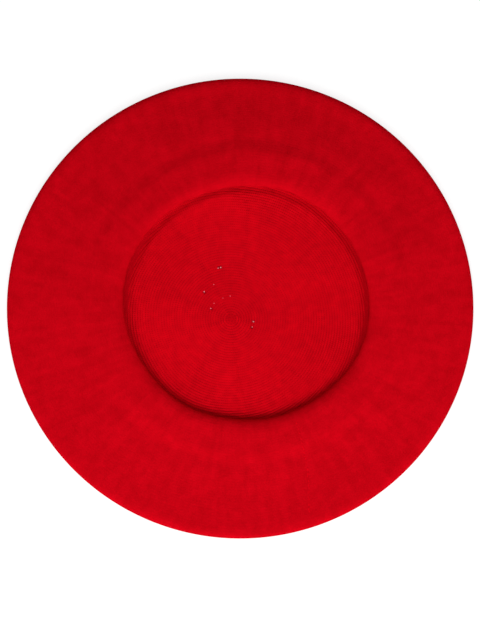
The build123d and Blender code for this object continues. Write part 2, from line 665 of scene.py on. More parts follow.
def nap_tree() -> bpy.types.NodeTree:
    """The tree that grows wool fibres out of a cloth, thickest where its attribute nap is 1.

    Returns:
        The tree.
    """
    tree, source, end = geometry_tree(
        "grow_nap",
        {
            "Fibre": "Object",
            "Density": "Float",
            "Shortest": "Float",
            "Longest": "Float",
            "Lean": "Float",
            "Seed": "Int",
            "Material": "Material",
        },
    )
    nap = tree.add("GeometryNodeInputNamedAttribute", {"data_type": "FLOAT"}, Name="nap")
    density = tree.maths("MULTIPLY", source.outputs["Density"], nap.outputs["Attribute"])
    roots = tree.add(
        "GeometryNodeDistributePointsOnFaces",
        {"distribute_method": "RANDOM"},
        Mesh=source.outputs["Geometry"],
        Density=density,
        Seed=source.outputs["Seed"],
    )

    def random(kind: str, offset: int, low: object, high: object) -> bpy.types.NodeSocket:
        """A random number for each root.

        Args:
            kind: the number's data type.
            offset: what is added to the tree's seed for this number.
            low: smallest value.
            high: largest value.

        Returns:
            The number.
        """
        own = tree.maths("ADD", source.outputs["Seed"], offset)
        node = tree.add("FunctionNodeRandomValue", {"data_type": kind}, Seed=own)
        tree.feed(node.inputs[2], low)
        tree.feed(node.inputs[3], high)
        return node.outputs[1]

    spin = random("FLOAT", 11, 0.0, TURN)
    least = tree.maths("MULTIPLY", source.outputs["Lean"], LEAST_LEAN)
    lean = random("FLOAT", 12, least, source.outputs["Lean"])
    turn = tree.add("ShaderNodeCombineXYZ", X=lean, Y=0.0, Z=spin)
    by = tree.add("FunctionNodeEulerToRotation", Euler=turn.outputs[0])
    turned = tree.add(
        "FunctionNodeRotateRotation",
        {"rotation_space": "LOCAL"},
        Rotation=roots.outputs["Rotation"],
        Rotate_By=by.outputs[0],
    )
    fibre = tree.add("GeometryNodeObjectInfo", Object=source.outputs["Fibre"])
    placed = tree.add(
        "GeometryNodeInstanceOnPoints",
        Points=roots.outputs["Points"],
        Instance=fibre.outputs["Geometry"],
        Rotation=turned.outputs[0],
        Scale=random("FLOAT", 13, source.outputs["Shortest"], source.outputs["Longest"]),
    )
    close_tree(tree, placed.outputs[0], source, end)
    return tree.tree


# ---------------------------------------------------------------- finishes


class Effects:
    """Shader groups that the wool finishes share. Each is built once.

    A streak is drawn on a circle of radius STREAK_ROUND, where it is as long as the reach times
    STREAK_ALONG. Each layer of fibres has a heading in radians and a place in the noise.
    """

    STREAK_ROUND = 0.11
    STREAK_ALONG = 0.16
    FIBRE_LAYERS = ((0.35, 0.0), (1.45, 3.1), (2.5, 7.7))

    def __init__(self):
        """Builds every group."""
        self.mottle = self._mottle()
        self.fibres = self._fibres()
        self.rows = self._rows()

    @staticmethod
    def _group(name: str, inputs: dict, outputs: list) -> tuple:
        """Starts a shader group.

        Args:
            name: the group's name.
            inputs: socket names and kinds.
            outputs: names of the numbers that it puts out.

        Returns:
            The tree, its input node and its output node.
        """
        group = bpy.data.node_groups.new(name, "ShaderNodeTree")
        for socket, kind in inputs.items():
            group.interface.new_socket(socket, in_out="INPUT", socket_type=f"NodeSocket{kind}")
        for socket in outputs:
            group.interface.new_socket(socket, in_out="OUTPUT", socket_type="NodeSocketFloat")
        tree = Tree(group)
        return tree, tree.add("NodeGroupInput"), tree.add("NodeGroupOutput")

    def _mottle(self) -> bpy.types.NodeTree:
        """Soft uneven patches of fulled wool, some of them drawn out from centre to rim.

        Returns:
            The group, with the sizes Patch and Streak in metres.
        """
        sizes = {"Vector": "Vector", "Patch": "Float", "Streak": "Float"}
        tree, source, end = self._group("wool_mottle", sizes, ["Patches", "Streaks"])
        place = source.outputs["Vector"]
        scale = tree.maths("DIVIDE", 1.0, source.outputs["Patch"])
        patches = tree.add("ShaderNodeTexNoise", Vector=place, Scale=scale, Detail=3.0, Roughness=0.55)
        parts = tree.add("ShaderNodeSeparateXYZ", Vector=place)
        x, y = parts.outputs[0], parts.outputs[1]
        angle = tree.maths("ARCTAN2", y, x)
        squares = tree.maths("MULTIPLY", x, x), tree.maths("MULTIPLY", y, y)
        reach = tree.maths("SQRT", tree.maths("ADD", *squares))
        round_x = tree.maths("MULTIPLY", tree.maths("COSINE", angle), self.STREAK_ROUND)
        round_y = tree.maths("MULTIPLY", tree.maths("SINE", angle), self.STREAK_ROUND)
        along = tree.maths("MULTIPLY", reach, self.STREAK_ALONG)
        polar = tree.add("ShaderNodeCombineXYZ", X=round_x, Y=round_y, Z=along)
        fine = tree.maths("DIVIDE", 1.0, source.outputs["Streak"])
        streaks = tree.add(
            "ShaderNodeTexNoise", Vector=polar.outputs[0], Scale=fine, Detail=2.0, Roughness=0.6
        )
        tree.feed(end.inputs["Patches"], patches.outputs[0])
        tree.feed(end.inputs["Streaks"], streaks.outputs[0])
        return tree.tree

    def _fibres(self) -> bpy.types.NodeTree:
        """Fine crossing fibres that lie on the cloth.

        Returns:
            The group, with a fibre's Width and Length in metres.
        """
        tree, source, end = self._group(
            "wool_fibres", {"Vector": "Vector", "Width": "Float", "Length": "Float"}, ["Height"]
        )
        across = tree.maths("DIVIDE", 1.0, source.outputs["Width"])
        along = tree.maths("DIVIDE", 1.0, source.outputs["Length"])
        total = None
        for turn, offset in self.FIBRE_LAYERS:
            turned = tree.add(
                "ShaderNodeVectorRotate",
                {"rotation_type": "Z_AXIS"},
                Vector=source.outputs["Vector"],
                Angle=turn,
            )
            parts = tree.add("ShaderNodeSeparateXYZ", Vector=turned.outputs[0])
            stretched = tree.add(
                "ShaderNodeCombineXYZ",
                X=tree.maths("MULTIPLY", parts.outputs[0], along),
                Y=tree.maths("MULTIPLY", parts.outputs[1], across),
                Z=tree.maths("ADD", tree.maths("MULTIPLY", parts.outputs[2], across), offset),
            )
            noise = tree.add(
                "ShaderNodeTexNoise",
                Vector=stretched.outputs[0],
                Scale=1.0,
                Detail=2.0,
                Roughness=0.5,
                Distortion=0.6,
            )
            strand = tree.maths("POWER", noise.outputs[0], 2.0)
            total = strand if total is None else tree.maths("ADD", total, strand)
        tree.feed(end.inputs["Height"], total)
        return tree.tree

    def _rows(self) -> bpy.types.NodeTree:
        """Knitted rows along a surface's own UV map, whose V runs in metres across the rows.

        Returns:
            The group, with the rows' Pitch and Waviness in metres.
        """
        tree, source, end = self._group(
            "knit_rows", {"UV": "Vector", "Pitch": "Float", "Waviness": "Float"}, ["Height"]
        )
        parts = tree.add("ShaderNodeSeparateXYZ", Vector=source.outputs["UV"])
        wander = tree.add("ShaderNodeTexNoise", Vector=source.outputs["UV"], Scale=40.0, Detail=1.0)
        shifted = tree.maths(
            "ADD", parts.outputs[1], tree.maths("MULTIPLY", wander.outputs[0], source.outputs["Waviness"])
        )
        phase = tree.maths("MULTIPLY", tree.maths("DIVIDE", shifted, source.outputs["Pitch"]), math.pi)
        ridge = tree.maths("ABSOLUTE", tree.maths("SINE", phase))
        tree.feed(end.inputs["Height"], tree.maths("POWER", ridge, 0.6))
        return tree.tree


@dataclass(frozen=True)
class WoolFinish:
    """Red wool cloth.

    colour and shade are the wool where it catches light and in its hollows. The mottle, streak and
    fibre shares say how far each effect goes from one to the other, and the ranges between which
    levels of its noise. The bump heights and the rows' waviness are in metres.
    """

    name: str
    colour: tuple = (0.62, 0.0013, 0.0080)
    shade: tuple = (0.42, 0.0007, 0.0043)
    patch: float = 7.0 * MM
    streak: float = 5.0 * MM
    mottle_share: float = 0.30
    streak_share: float = 0.25
    fibre_share: float = 0.45
    fibre_width: float = 0.16 * MM
    fibre_length: float = 1.3 * MM
    fibre_bump: float = 0.10 * MM
    patch_bump: float = 0.12 * MM
    row_pitch: float = 1.56 * MM
    row_bump: float = 0.0
    row_waviness: float = 0.25 * MM
    patch_range: tuple = (0.36, 0.64)
    fibre_range: tuple = (0.55, 1.05)
    roughness: float = 0.92
    sheen: float = 0.25
    sheen_roughness: float = 0.5
    sheen_tint: tuple = (0.85, 0.002, 0.012, 1.0)

    def build(self, effects: Effects) -> bpy.types.Material:
        """Makes the material.

        Args:
            effects: the shared shader groups.

        Returns:
            The material.
        """
        material = bpy.data.materials.new(self.name)
        material.use_nodes = True
        material.node_tree.nodes.clear()
        tree = Tree(material.node_tree)
        place = tree.add("ShaderNodeTexCoord").outputs["Object"]
        mottle = tree.add(
            "ShaderNodeGroup",
            {"node_tree": effects.mottle},
            Vector=place,
            Patch=self.patch,
            Streak=self.streak,
        )
        fibres = tree.add(
            "ShaderNodeGroup",
            {"node_tree": effects.fibres},
            Vector=place,
            Width=self.fibre_width,
            Length=self.fibre_length,
        )

        def contrast(value: bpy.types.NodeSocket, low: float, high: float) -> bpy.types.NodeSocket:
            """Spreads a value between two levels over 0 to 1.

            Args:
                value: the value.
                low: level that becomes 0.
                high: level that becomes 1.

            Returns:
                The spread value.
            """
            node = tree.add("ShaderNodeMapRange", {"clamp": True}, Value=value)
            node.inputs["From Min"].default_value = low
            node.inputs["From Max"].default_value = high
            return node.outputs[0]

        patches = contrast(mottle.outputs["Patches"], *self.patch_range)
        streaks = contrast(mottle.outputs["Streaks"], *self.patch_range)
        strands = contrast(fibres.outputs["Height"], *self.fibre_range)
        total = tree.maths("MULTIPLY", patches, self.mottle_share)
        total = tree.maths("ADD", total, tree.maths("MULTIPLY", streaks, self.streak_share))
        total = tree.maths("ADD", total, tree.maths("MULTIPLY", strands, self.fibre_share))
        colour = tree.add("ShaderNodeMix", {"data_type": "RGBA"})
        tree.feed(colour.inputs["Factor"], total)
        tree.feed(colour.inputs[6], (*self.shade, 1.0))
        tree.feed(colour.inputs[7], (*self.colour, 1.0))
        relief = tree.maths("MULTIPLY", strands, self.fibre_bump)
        relief = tree.maths("ADD", relief, tree.maths("MULTIPLY", patches, self.patch_bump))
        if self.row_bump:
            uv = tree.add("ShaderNodeUVMap", {"uv_map": "knit"})
            rows = tree.add(
                "ShaderNodeGroup",
                {"node_tree": effects.rows},
                UV=uv.outputs[0],
                Pitch=self.row_pitch,
                Waviness=self.row_waviness,
            )
            relief = tree.maths("ADD", relief, tree.maths("MULTIPLY", rows.outputs[0], self.row_bump))
        bump = tree.add("ShaderNodeBump", Height=relief, Strength=1.0, Distance=1.0)
        shader = tree.add(
            "ShaderNodeBsdfPrincipled",
            Base_Color=colour.outputs[2],
            Roughness=self.roughness,
            Normal=bump.outputs[0],
        )
        shader.inputs["Specular IOR Level"].default_value = 0.0
        shader.inputs["Sheen Weight"].default_value = self.sheen
        shader.inputs["Sheen Roughness"].default_value = self.sheen_roughness
        shader.inputs["Sheen Tint"].default_value = self.sheen_tint
        tree.add("ShaderNodeOutputMaterial", Surface=shader.outputs[0])
        return material


class Finish(Enum):
    """The finishes of the beret's pieces. The loops are painted lighter and the crown's cloth between them
    darker, as light and shade on one wool, and the yarn lighter, as sheen.
    """

    NAPPED = WoolFinish("wool_napped", row_bump=0.05 * MM, sheen=0.5)
    INSIDE = WoolFinish(
        "wool_inside",
        # The crown's cloth shows only between the loops; its colours are painted darker than the loops' as
        # shade in the gaps between them.
        colour=(0.66, 0.0012, 0.0080),
        shade=(0.46, 0.0006, 0.0052),
        patch=9.0 * MM,
        mottle_share=0.25,
        streak_share=0.0,
        fibre_share=0.7,
        patch_bump=0.05 * MM,
        row_bump=0.12 * MM,
        sheen=0.15,
    )
    EDGE = WoolFinish("wool_edge", row_bump=0.05 * MM, sheen=0.15)
    LOOP = WoolFinish(
        "wool_loop_painted_light",
        # The loops' colours are painted lighter than the rest of the wool, a lit copy of the crown's wool
        # that makes up for the shade painted between the loops.
        colour=(0.92, 0.0022, 0.0120),
        shade=(0.70, 0.0014, 0.0086),
        patch=5.0 * MM,
        mottle_share=0.4,
        streak_share=0.0,
        fibre_share=0.6,
        fibre_width=0.12 * MM,
        fibre_length=0.9 * MM,
        fibre_bump=0.05 * MM,
        patch_bump=0.0,
        sheen=0.15,
    )
    FIBRE = WoolFinish(
        "wool_fibre",
        colour=(0.64, 0.0012, 0.0076),
        shade=(0.46, 0.0006, 0.0046),
        fibre_bump=0.0,
        patch_bump=0.0,
        sheen=0.6,
    )
    YARN_PAINTED_SHEEN = WoolFinish(
        "wool_yarn_painted_sheen",
        # The yarn's colours are painted lighter than the cloth's, as sheen on the raised yarn.
        colour=(0.78, 0.0010, 0.0095),
        shade=(0.60, 0.0005, 0.0062),
        fibre_width=0.08 * MM,
        fibre_length=0.6 * MM,
        fibre_bump=0.04 * MM,
        patch_bump=0.0,
    )


# ---------------------------------------------------------------- the knitted cloth


@dataclass(frozen=True)
class Fold:
    """One soft fold that runs out from the knit's centre; a negative height is a valley.

    It runs at its angle, in degrees, between the reaches near and far, and over the share fading
    of that length it grows to its full height at each end.
    """

    angle: float
    near: float
    far: float
    height: float
    width: float
    fading: float = 0.35

    def at(self, x: np.ndarray, y: np.ndarray) -> np.ndarray:
        """Height of the fold.

        Args:
            x: places to the east of the knit's centre.
            y: places to the north of it.

        Returns:
            Heights, in the same shape.
        """
        turn = math.radians(self.angle)
        along = x * math.cos(turn) + y * math.sin(turn)
        across = y * math.cos(turn) - x * math.sin(turn)
        run = self.fading * (self.far - self.near)
        ends = np.clip((along - self.near) / run, 0, 1) * np.clip((self.far - along) / run, 0, 1)
        return self.height * np.exp(-((across / self.width) ** 2)) * ends * ends * (3 - 2 * ends)


@dataclass
class Cloth:
    """The continuous knitted cloth, made as three closed slabs that meet edge to edge.

    The steps are the distances between its rings. bump is the place of the folded stalk; dome, tip
    and pillow make the crown fuller; the crevice is where the rolled edge presses it; settle,
    rim_settle and tilt say how far the soft cloth has sunk, and the opening's plane with it. held
    is how much less the crown gives way at the near and far sides. The crown is slack inside
    slack_margin from its flat's edge, growing over slack_run, and the underside where it is higher
    than free_from of the rim's height, growing over free_run. step_profile is how far the
    underside has dropped below the rolled edge at each reach, and roll_profile the section of that
    edge: how far out, whether from its top or its foot, the height, the oval and the wall. All
    those are in millimetres, and so is band_profile: how far inside its edge, the drop and the wall.
    """

    pattern: Pattern
    ring_step: float = 1.25 * MM
    fine_step: float = 0.78 * MM
    hem_step: float = 0.8 * MM
    crown_around: int = 240
    ring_around: int = 480
    oval: float = 1.5 * MM
    rim_oval: float = 1.0 * MM
    bump_core: float = 1.5 * MM
    bump_slope: float = 9.0 * MM
    dome_height: float = 7.2 * MM
    dome_tip: float = 4.0 * MM
    dome_width: float = 26.0 * MM
    tip_height: float = 1.2 * MM
    tip_width: float = 5.0 * MM
    pillow: float = 1.6 * MM
    crevice_depth: float = 1.1 * MM
    crevice_width: float = 5.2 * MM
    groove_depth: float = 0.13 * MM
    groove_width: float = 2.0 * MM
    settle: float = 2.3 * MM
    rim_settle: float = 3.8 * MM
    tilt: float = 0.011
    edge_squeeze: float = 1.0 * MM
    edge_gap: float = 0.5 * MM
    edge_reach: float = 6.0 * MM
    slack_margin: float = 8.0 * MM
    slack_run: float = 30.0 * MM
    free_from: float = 0.55
    free_run: float = 0.25
    held: float = 0.45
    seam_share: float = 0.6
    pinhole: float = 0.36 * MM
    crease_limit: float = 0.35
    step_profile: tuple = ((103, 2.45), (98.5, 2.15), (95.5, 1.4), (92.5, 0.6), (89, 0.3), (84, 0.08))
    roll_profile: tuple = (
        (4.4, "top", -0.02, 1.6, 1.95),
        (2.5, "top", -0.5, 1.6, 1.8),
        (0.9, "top", -1.5, 1.6, 1.8),
        (0.1, "top", -3.0, 1.6, 1.8),
        (0.3, "foot", 1.1, 1.7, 1.8),
        (1.6, "foot", 0.1, 1.5, 1.8),
        (4.4, "foot", 0.0, 1.5, 1.8),
    )
    band_profile: tuple = ((14, 3.2, 1.8), (9, 2.3, 1.7), (4.5, 2.45, 1.6), (0, 3.3, 1.3))
    folds: tuple = (
        Fold(angle=19, near=18 * MM, far=84 * MM, height=-1.00 * MM, width=4.5 * MM),
        Fold(angle=3, near=24 * MM, far=86 * MM, height=0.80 * MM, width=9.0 * MM),
        Fold(angle=88, near=9 * MM, far=78 * MM, height=-0.90 * MM, width=6.5 * MM),
        Fold(angle=-84, near=20 * MM, far=58 * MM, height=-0.50 * MM, width=2.2 * MM),
        Fold(angle=-55, near=16 * MM, far=52 * MM, height=-0.42 * MM, width=2.6 * MM),
        Fold(angle=148, near=12 * MM, far=72 * MM, height=-0.55 * MM, width=3.6 * MM),
    )

    def __post_init__(self):
        """Prepares the unevenness and the wedge lines."""
        self.wedges = Wedges(self.pattern)
        self.slack = Ripple(seed=5, shortest=14 * MM, longest=70 * MM, height=0.28 * MM)
        self.crown_slack = Ripple(seed=9, shortest=18 * MM, longest=80 * MM, height=0.22 * MM)
        self.wander = Ripple(seed=3, shortest=40 * MM, longest=160 * MM, height=0.45 * MM)
        self.lay_out()

    # ------------------------------------------------ middle line

    def stations(self) -> tuple:
        """Stations of the whole middle line.

        Returns:
            The stations, and the numbers of those that end the fine rings, the crown and the
            underside.
        """
        p, middle = self.pattern, self.pattern.cloth / 2
        rim_top = p.rim_height - self.rim_settle
        bend = rim_top / 2 - middle
        fold = p.rim_radius - rim_top / 2
        crown = [
            Station(0.0, middle, to_knit=1),
            Station(40 * MM, middle, to_knit=1),
            Station(88 * MM, middle, to_knit=1),
            Station(112 * MM, middle, to_knit=0.45, oval=0.3 * self.rim_oval),
            Station(fold - 5 * MM, middle, to_knit=0.05, oval=0.9 * self.rim_oval),
        ]
        rim = [
            Station(fold + bend * math.sin(a), middle + bend * (1 - math.cos(a)), oval=self.rim_oval)
            for a in (math.pi * k / 6 for k in range(7))
        ]
        top = p.hem_top - middle - self.settle
        level = {"top": top, "foot": p.hem_bottom + middle - self.settle}
        under = [
            Station(fold - 8 * MM, rim_top - middle + 0.45 * MM, to_opening=0.2, oval=1.0 * MM),
            Station(118 * MM, rim_top - middle + 1.2 * MM, to_opening=0.65, oval=1.2 * MM),
            *(
                Station(reach * MM, top - drop * MM, to_opening=1, oval=self.oval)
                for reach, drop in self.step_profile
            ),
        ]
        edge = p.opening_radius - self.edge_squeeze + middle
        roll = [
            Station(edge + out * MM, level[end] + rise * MM, to_opening=1, oval=oval * MM, wall=wall * MM)
            for out, end, rise, oval, wall in self.roll_profile
        ]
        band = [
            Station(p.band_edge - back * MM, top - drop * MM, to_opening=1, oval=self.oval, wall=wall * MM)
            for back, drop, wall in self.band_profile
        ]
        outermost = len(crown) + 3
        crest = len(crown) + len(rim) + len(under)
        return [*crown, *rim, *under, *roll, *band], (1, outermost, crest)

    def lay_out(self) -> None:
        """Divides the middle line and works out both faces of the whole cloth."""
        stations, (near, outermost, crest) = self.stations()
        rows = np.array([s.row() for s in stations])
        steps = [
            (near, self.fine_step),
            (outermost, self.ring_step),
            (crest, self.ring_step),
            (len(rows) - 1, self.hem_step),
        ]
        self.line, ends = smooth_line(rows, steps)
        self.crown_rings = slice(0, ends[1] + 1)
        self.underside_rings = slice(ends[1], ends[2] + 1)
        self.hem_rings = slice(ends[2], len(self.line))
        gaps = np.linalg.norm(np.diff(self.line[:, :2], axis=0), axis=1)
        self.length = np.concatenate([[0], np.cumsum(gaps)])
        counts = (self.crown_around, self.ring_around)
        self.faces = {around: self.faces_of(self.line, around) for around in counts}

    # ------------------------------------------------ surface

    def bump(self, x: np.ndarray, y: np.ndarray) -> np.ndarray:
        """How far the folded stalk lifts the crown.

        Args:
            x: places to the east.
            y: places to the north.

        Returns:
            Heights, in the same shape.
        """
        p = self.pattern
        heading = np.array([math.cos(p.stalk_heading), math.sin(p.stalk_heading)])
        east, north = x - p.knit_centre[0], y - p.knit_centre[1]
        run = p.stalk_length - p.stalk_radius
        along = np.clip(east * heading[0] + north * heading[1], 0, run)
        away = np.hypot(east - along * heading[0], north - along * heading[1])
        soft = np.clip((away - self.bump_core) / self.bump_slope, 0, 1)
        return p.bump_height * (1 - soft * soft * (3 - 2 * soft))

    def swell(self, x: np.ndarray, y: np.ndarray) -> np.ndarray:
        """How much thicker than at its rim the crown is at each place, in its inner face alone.

        The knit is densest and puffed up at its centre. It is pressed thin where the rolled edge of
        the opening lies over it, and drawn in a little along the lines of the wedges.

        Args:
            x: places to the east.
            y: places to the north.

        Returns:
            Heights, in the same shape.
        """
        p = self.pattern
        away = np.hypot(x - p.knit_centre[0], y - p.knit_centre[1])
        off_x, off_y = x - p.opening_centre[0], y - p.opening_centre[1]
        reach = np.hypot(off_x, off_y)
        edge = p.opening_radius - self.edge_squeeze + self.oval * np.cos(2 * np.arctan2(off_y, off_x))
        held = 1 - self.held * (off_y / np.maximum(reach, MM)) ** 2
        inside = np.clip((edge - self.edge_gap - reach) / self.crevice_width, 0, 1)
        inside = inside * inside * (3 - 2 * inside)
        dome = self.dome_height * np.exp(-np.hypot(away, self.dome_tip) / self.dome_width) - self.bump(x, y)
        tip = self.tip_height * np.exp(-((away / self.tip_width) ** 2))
        puff = np.maximum(dome, 0) + tip + self.pillow * (1 - held * (1 - inside))
        fade = np.clip((p.band_edge - reach) / (p.band_edge - edge), 0, 1)
        pressed = held * self.crevice_depth * (1 - inside) * fade
        angle = np.arctan2(y - p.knit_centre[1], x - p.knit_centre[0])
        off_line = self.wedges.distance(angle, away, self.wedges.crown_angle(away))
        line = self.wedges.groove(off_line, self.groove_width)
        for fold in self.folds:
            puff = puff + inside * fold.at(x - p.knit_centre[0], y - p.knit_centre[1])
        under_roll = np.clip((edge + self.edge_reach - reach) / self.edge_reach, 0, 1)
        return puff * under_roll - pressed - self.seam_share * self.groove_depth * line * inside

    def faces_of(self, line: np.ndarray, around: int) -> tuple:
        """Places of both faces of the cloth along a middle line.

        Args:
            line: the middle line's samples.
            around: vertices in a ring.

        Returns:
            Outer and inner face, each rings x around x 3.
        """
        p = self.pattern
        reach, height, knit, opening, oval, wall = line.T[:, :, None]
        slope = np.gradient(line[:, :2], axis=0)
        slope /= np.linalg.norm(slope, axis=1)[:, None]
        out_reach, out_height = slope[:, 1:2], -slope[:, 0:1]
        angle = np.linspace(0, TURN, around, endpoint=False)[None, :]
        centre_x = knit * p.knit_centre[0] + opening * p.opening_centre[0]
        centre_y = knit * p.knit_centre[1] + opening * p.opening_centre[1]
        shift = self.wander.at(centre_x + reach * np.cos(angle), centre_y + reach * np.sin(angle)) * opening
        places = []
        for side in (0.5, -0.5):
            far = reach + oval * np.cos(2 * angle) + shift + side * wall * out_reach
            far = np.maximum(far, 0)
            x = centre_x + far * np.cos(angle)
            y = centre_y + far * np.sin(angle)
            z = np.broadcast_to(height + side * wall * out_height, x.shape).copy()
            places.append([x, y, z])
        mid_x, mid_y = (places[0][0] + places[1][0]) / 2, (places[0][1] + places[1][1]) / 2
        on_crown = np.clip((p.cloth * 1.2 - height) / p.cloth, 0, 1)
        inner = np.clip((p.flat_radius - self.slack_margin - reach) / self.slack_run, 0, 1)
        lift = on_crown * (self.bump(mid_x, mid_y) + inner * np.abs(self.crown_slack.at(mid_x, mid_y)))
        free = np.clip((height - self.free_from * p.rim_height) / (self.free_run * p.rim_height), 0, 1)
        lift = lift + free * self.slack.at(mid_x, mid_y) + opening * self.tilt * mid_y
        away = self.wedges.distance(angle, reach, self.wedges.underside_angle(reach))
        lift = lift - free * self.groove_depth * self.wedges.groove(away, self.groove_width)
        for face in places:
            face[2] += lift
        places[1][2] += on_crown * self.swell(places[1][0], places[1][1])
        return tuple(np.stack(face, axis=-1) for face in places)

    def slab(self, name: str, part: slice, around: int, holes: list = ()) -> bpy.types.Object:
        """Makes one closed slab of cloth.

        Args:
            name: the piece's name.
            part: its rings. A first reach of 0 closes in a pole.
            around: vertices in a ring.
            holes: pinholes, as (ring, place in the ring).

        Returns:
            The slab, with a UV map named knit whose V is the length along the cloth.
        """
        outer, inner = (face[part].copy() for face in self.faces[around])
        line, length = self.line[part], self.length[part]
        rings = len(line)
        pole = line[0, 0] < 0.01 * MM
        for ring, at in holes:
            for face in (outer, inner):
                self._narrow(face, ring, at, around)
        size = rings * around
        points = np.concatenate([outer.reshape(-1, 3), inner.reshape(-1, 3)])
        open_cells = {(ring, at % around) for ring, at in holes}
        top = grid_faces(rings, around, 0, flip=True).reshape(rings - 1, around, 4)
        under = grid_faces(rings, around, size, flip=False).reshape(rings - 1, around, 4)
        faces = []
        for ring in range(1 if pole else 0, rings - 1):
            for at in range(around):
                if (ring, at) in open_cells:
                    a, b = top[ring, at], under[ring, at][::-1]
                    faces += whole([(a[(k + 1) % 4], a[k], b[k], b[(k + 1) % 4]) for k in range(4)])
                else:
                    faces += whole([top[ring, at], under[ring, at]])
        last = (rings - 1) * around
        for at in range(around):
            n = (at + 1) % around
            faces.append((last + n, last + at, size + last + at, size + last + n))
        if pole:
            points = np.concatenate([points, [outer[0].mean(0), inner[0].mean(0)]])
            for at in range(around):
                n = (at + 1) % around
                faces.append((2 * size, around + n, around + at))
                faces.append((2 * size + 1, size + around + at, size + around + n))
        else:
            for at in range(around):
                n = (at + 1) % around
                faces.append((at, n, size + n, size + at))
        piece = new_piece(name, points, faces)
        self._finish_slab(piece, length, around)
        return piece

    def _narrow(self, face: np.ndarray, ring: int, at: int, around: int) -> None:
        """Draws the corners of one cell together, so that it leaves a round pinhole.

        Args:
            face: one face of the cloth, which is changed.
            ring: the cell's ring.
            at: its place in the ring.
            around: vertices in a ring.
        """
        corners = [(r, a % around) for r in (ring, ring + 1) for a in (at, at + 1)]
        middle = np.mean([face[c] for c in corners], axis=0)
        for corner in corners:
            away = face[corner] - middle
            span = np.linalg.norm(away)
            face[corner] = middle + away * min(1.0, self.pinhole / span)

    def _finish_slab(self, piece: bpy.types.Object, length: np.ndarray, around: int) -> None:
        """Writes the UV map, removes unused points, turns faces outwards and marks sharp edges.

        Args:
            piece: the slab, whose points are those of its outer face, its inner face and its pole.
            length: length along the cloth at each ring.
            around: vertices in a ring.
        """
        mesh = piece.data
        size, count = len(length) * around, len(mesh.vertices)
        run, turn = np.zeros(count), np.zeros(count)
        for first in (0, size):
            run[first : first + size] = np.repeat(length, around)
            turn[first : first + size] = np.tile(np.arange(around) / around, len(length))
        layer = mesh.uv_layers.new(name="knit")
        corner = np.zeros(len(mesh.loops), dtype=int)
        mesh.loops.foreach_get("vertex_index", corner)
        spots = np.stack([turn[corner], run[corner]], axis=1)
        layer.uv.foreach_set("vector", spots.astype(np.float32).ravel())
        used = np.zeros(len(mesh.vertices), dtype=bool)
        used[corner] = True
        if not used.all():
            work = bmesh_from(mesh)
            work.verts.ensure_lookup_table()
            for vertex in [work.verts[int(i)] for i in np.flatnonzero(~used)]:
                work.verts.remove(vertex)
            bmesh_to(work, mesh)
        tidy_normals(mesh)
        walls = mesh.attributes.new("sharp_edge", "BOOLEAN", "EDGE")
        normals = np.zeros(len(mesh.polygons) * 3)
        mesh.polygons.foreach_get("normal", normals)
        normals = normals.reshape(-1, 3)
        pairs = {}
        for polygon in mesh.polygons:
            for key in polygon.edge_keys:
                pairs.setdefault(key, []).append(polygon.index)

        def folded(key: tuple) -> bool:
            """Whether two faces meet at an edge at more than the crease limit."""
            sides = pairs[key]
            return len(sides) == 2 and float(normals[sides[0]] @ normals[sides[1]]) < self.crease_limit

        walls.data.foreach_set("value", [folded(edge.key) for edge in mesh.edges])

    def napped_face(self, part: slice, around: int, weight: np.ndarray) -> bpy.types.Object:
        """A copy of the outer face of the cloth, which fibres are grown from.

        Args:
            part: its rings.
            around: vertices in a ring.
            weight: how thick the nap is at each ring, 0 to 1.

        Returns:
            The face, with the attribute nap.
        """
        face = self.faces[around][0][part]
        start = 1 if self.line[part][0, 0] < 0.01 * MM else 0
        face, weight = face[start:], weight[start:]
        quads = grid_faces(len(face), around, 0, flip=True)
        base = new_piece("nap_base", face.reshape(-1, 3), whole(quads))
        nap = base.data.attributes.new("nap", "FLOAT", "POINT")
        nap.data.foreach_set("value", np.repeat(weight, around).astype(np.float32))
        return base

    def inside_height(self, x: np.ndarray, y: np.ndarray) -> np.ndarray:
        """Level of the crown's inner face within the flat of the crown.

        Args:
            x: places to the east.
            y: places to the north.

        Returns:
            Levels, in the same shape.
        """
        p = self.pattern
        return p.cloth + self.bump(x, y) + np.abs(self.crown_slack.at(x, y)) + self.swell(x, y)

    def inside_normal(self, x: np.ndarray, y: np.ndarray) -> np.ndarray:
        """Direction off the crown's inner face.

        Args:
            x: places to the east.
            y: places to the north.

        Returns:
            One direction of length 1 for each place.
        """
        step = 0.3 * MM
        east = (self.inside_height(x + step, y) - self.inside_height(x - step, y)) / (2 * step)
        north = (self.inside_height(x, y + step) - self.inside_height(x, y - step)) / (2 * step)
        normal = np.stack([-east, -north, np.ones_like(east)], axis=-1)
        return normal / np.linalg.norm(normal, axis=-1)[..., None]


# ---------------------------------------------------------------- stitches, nap and yarns


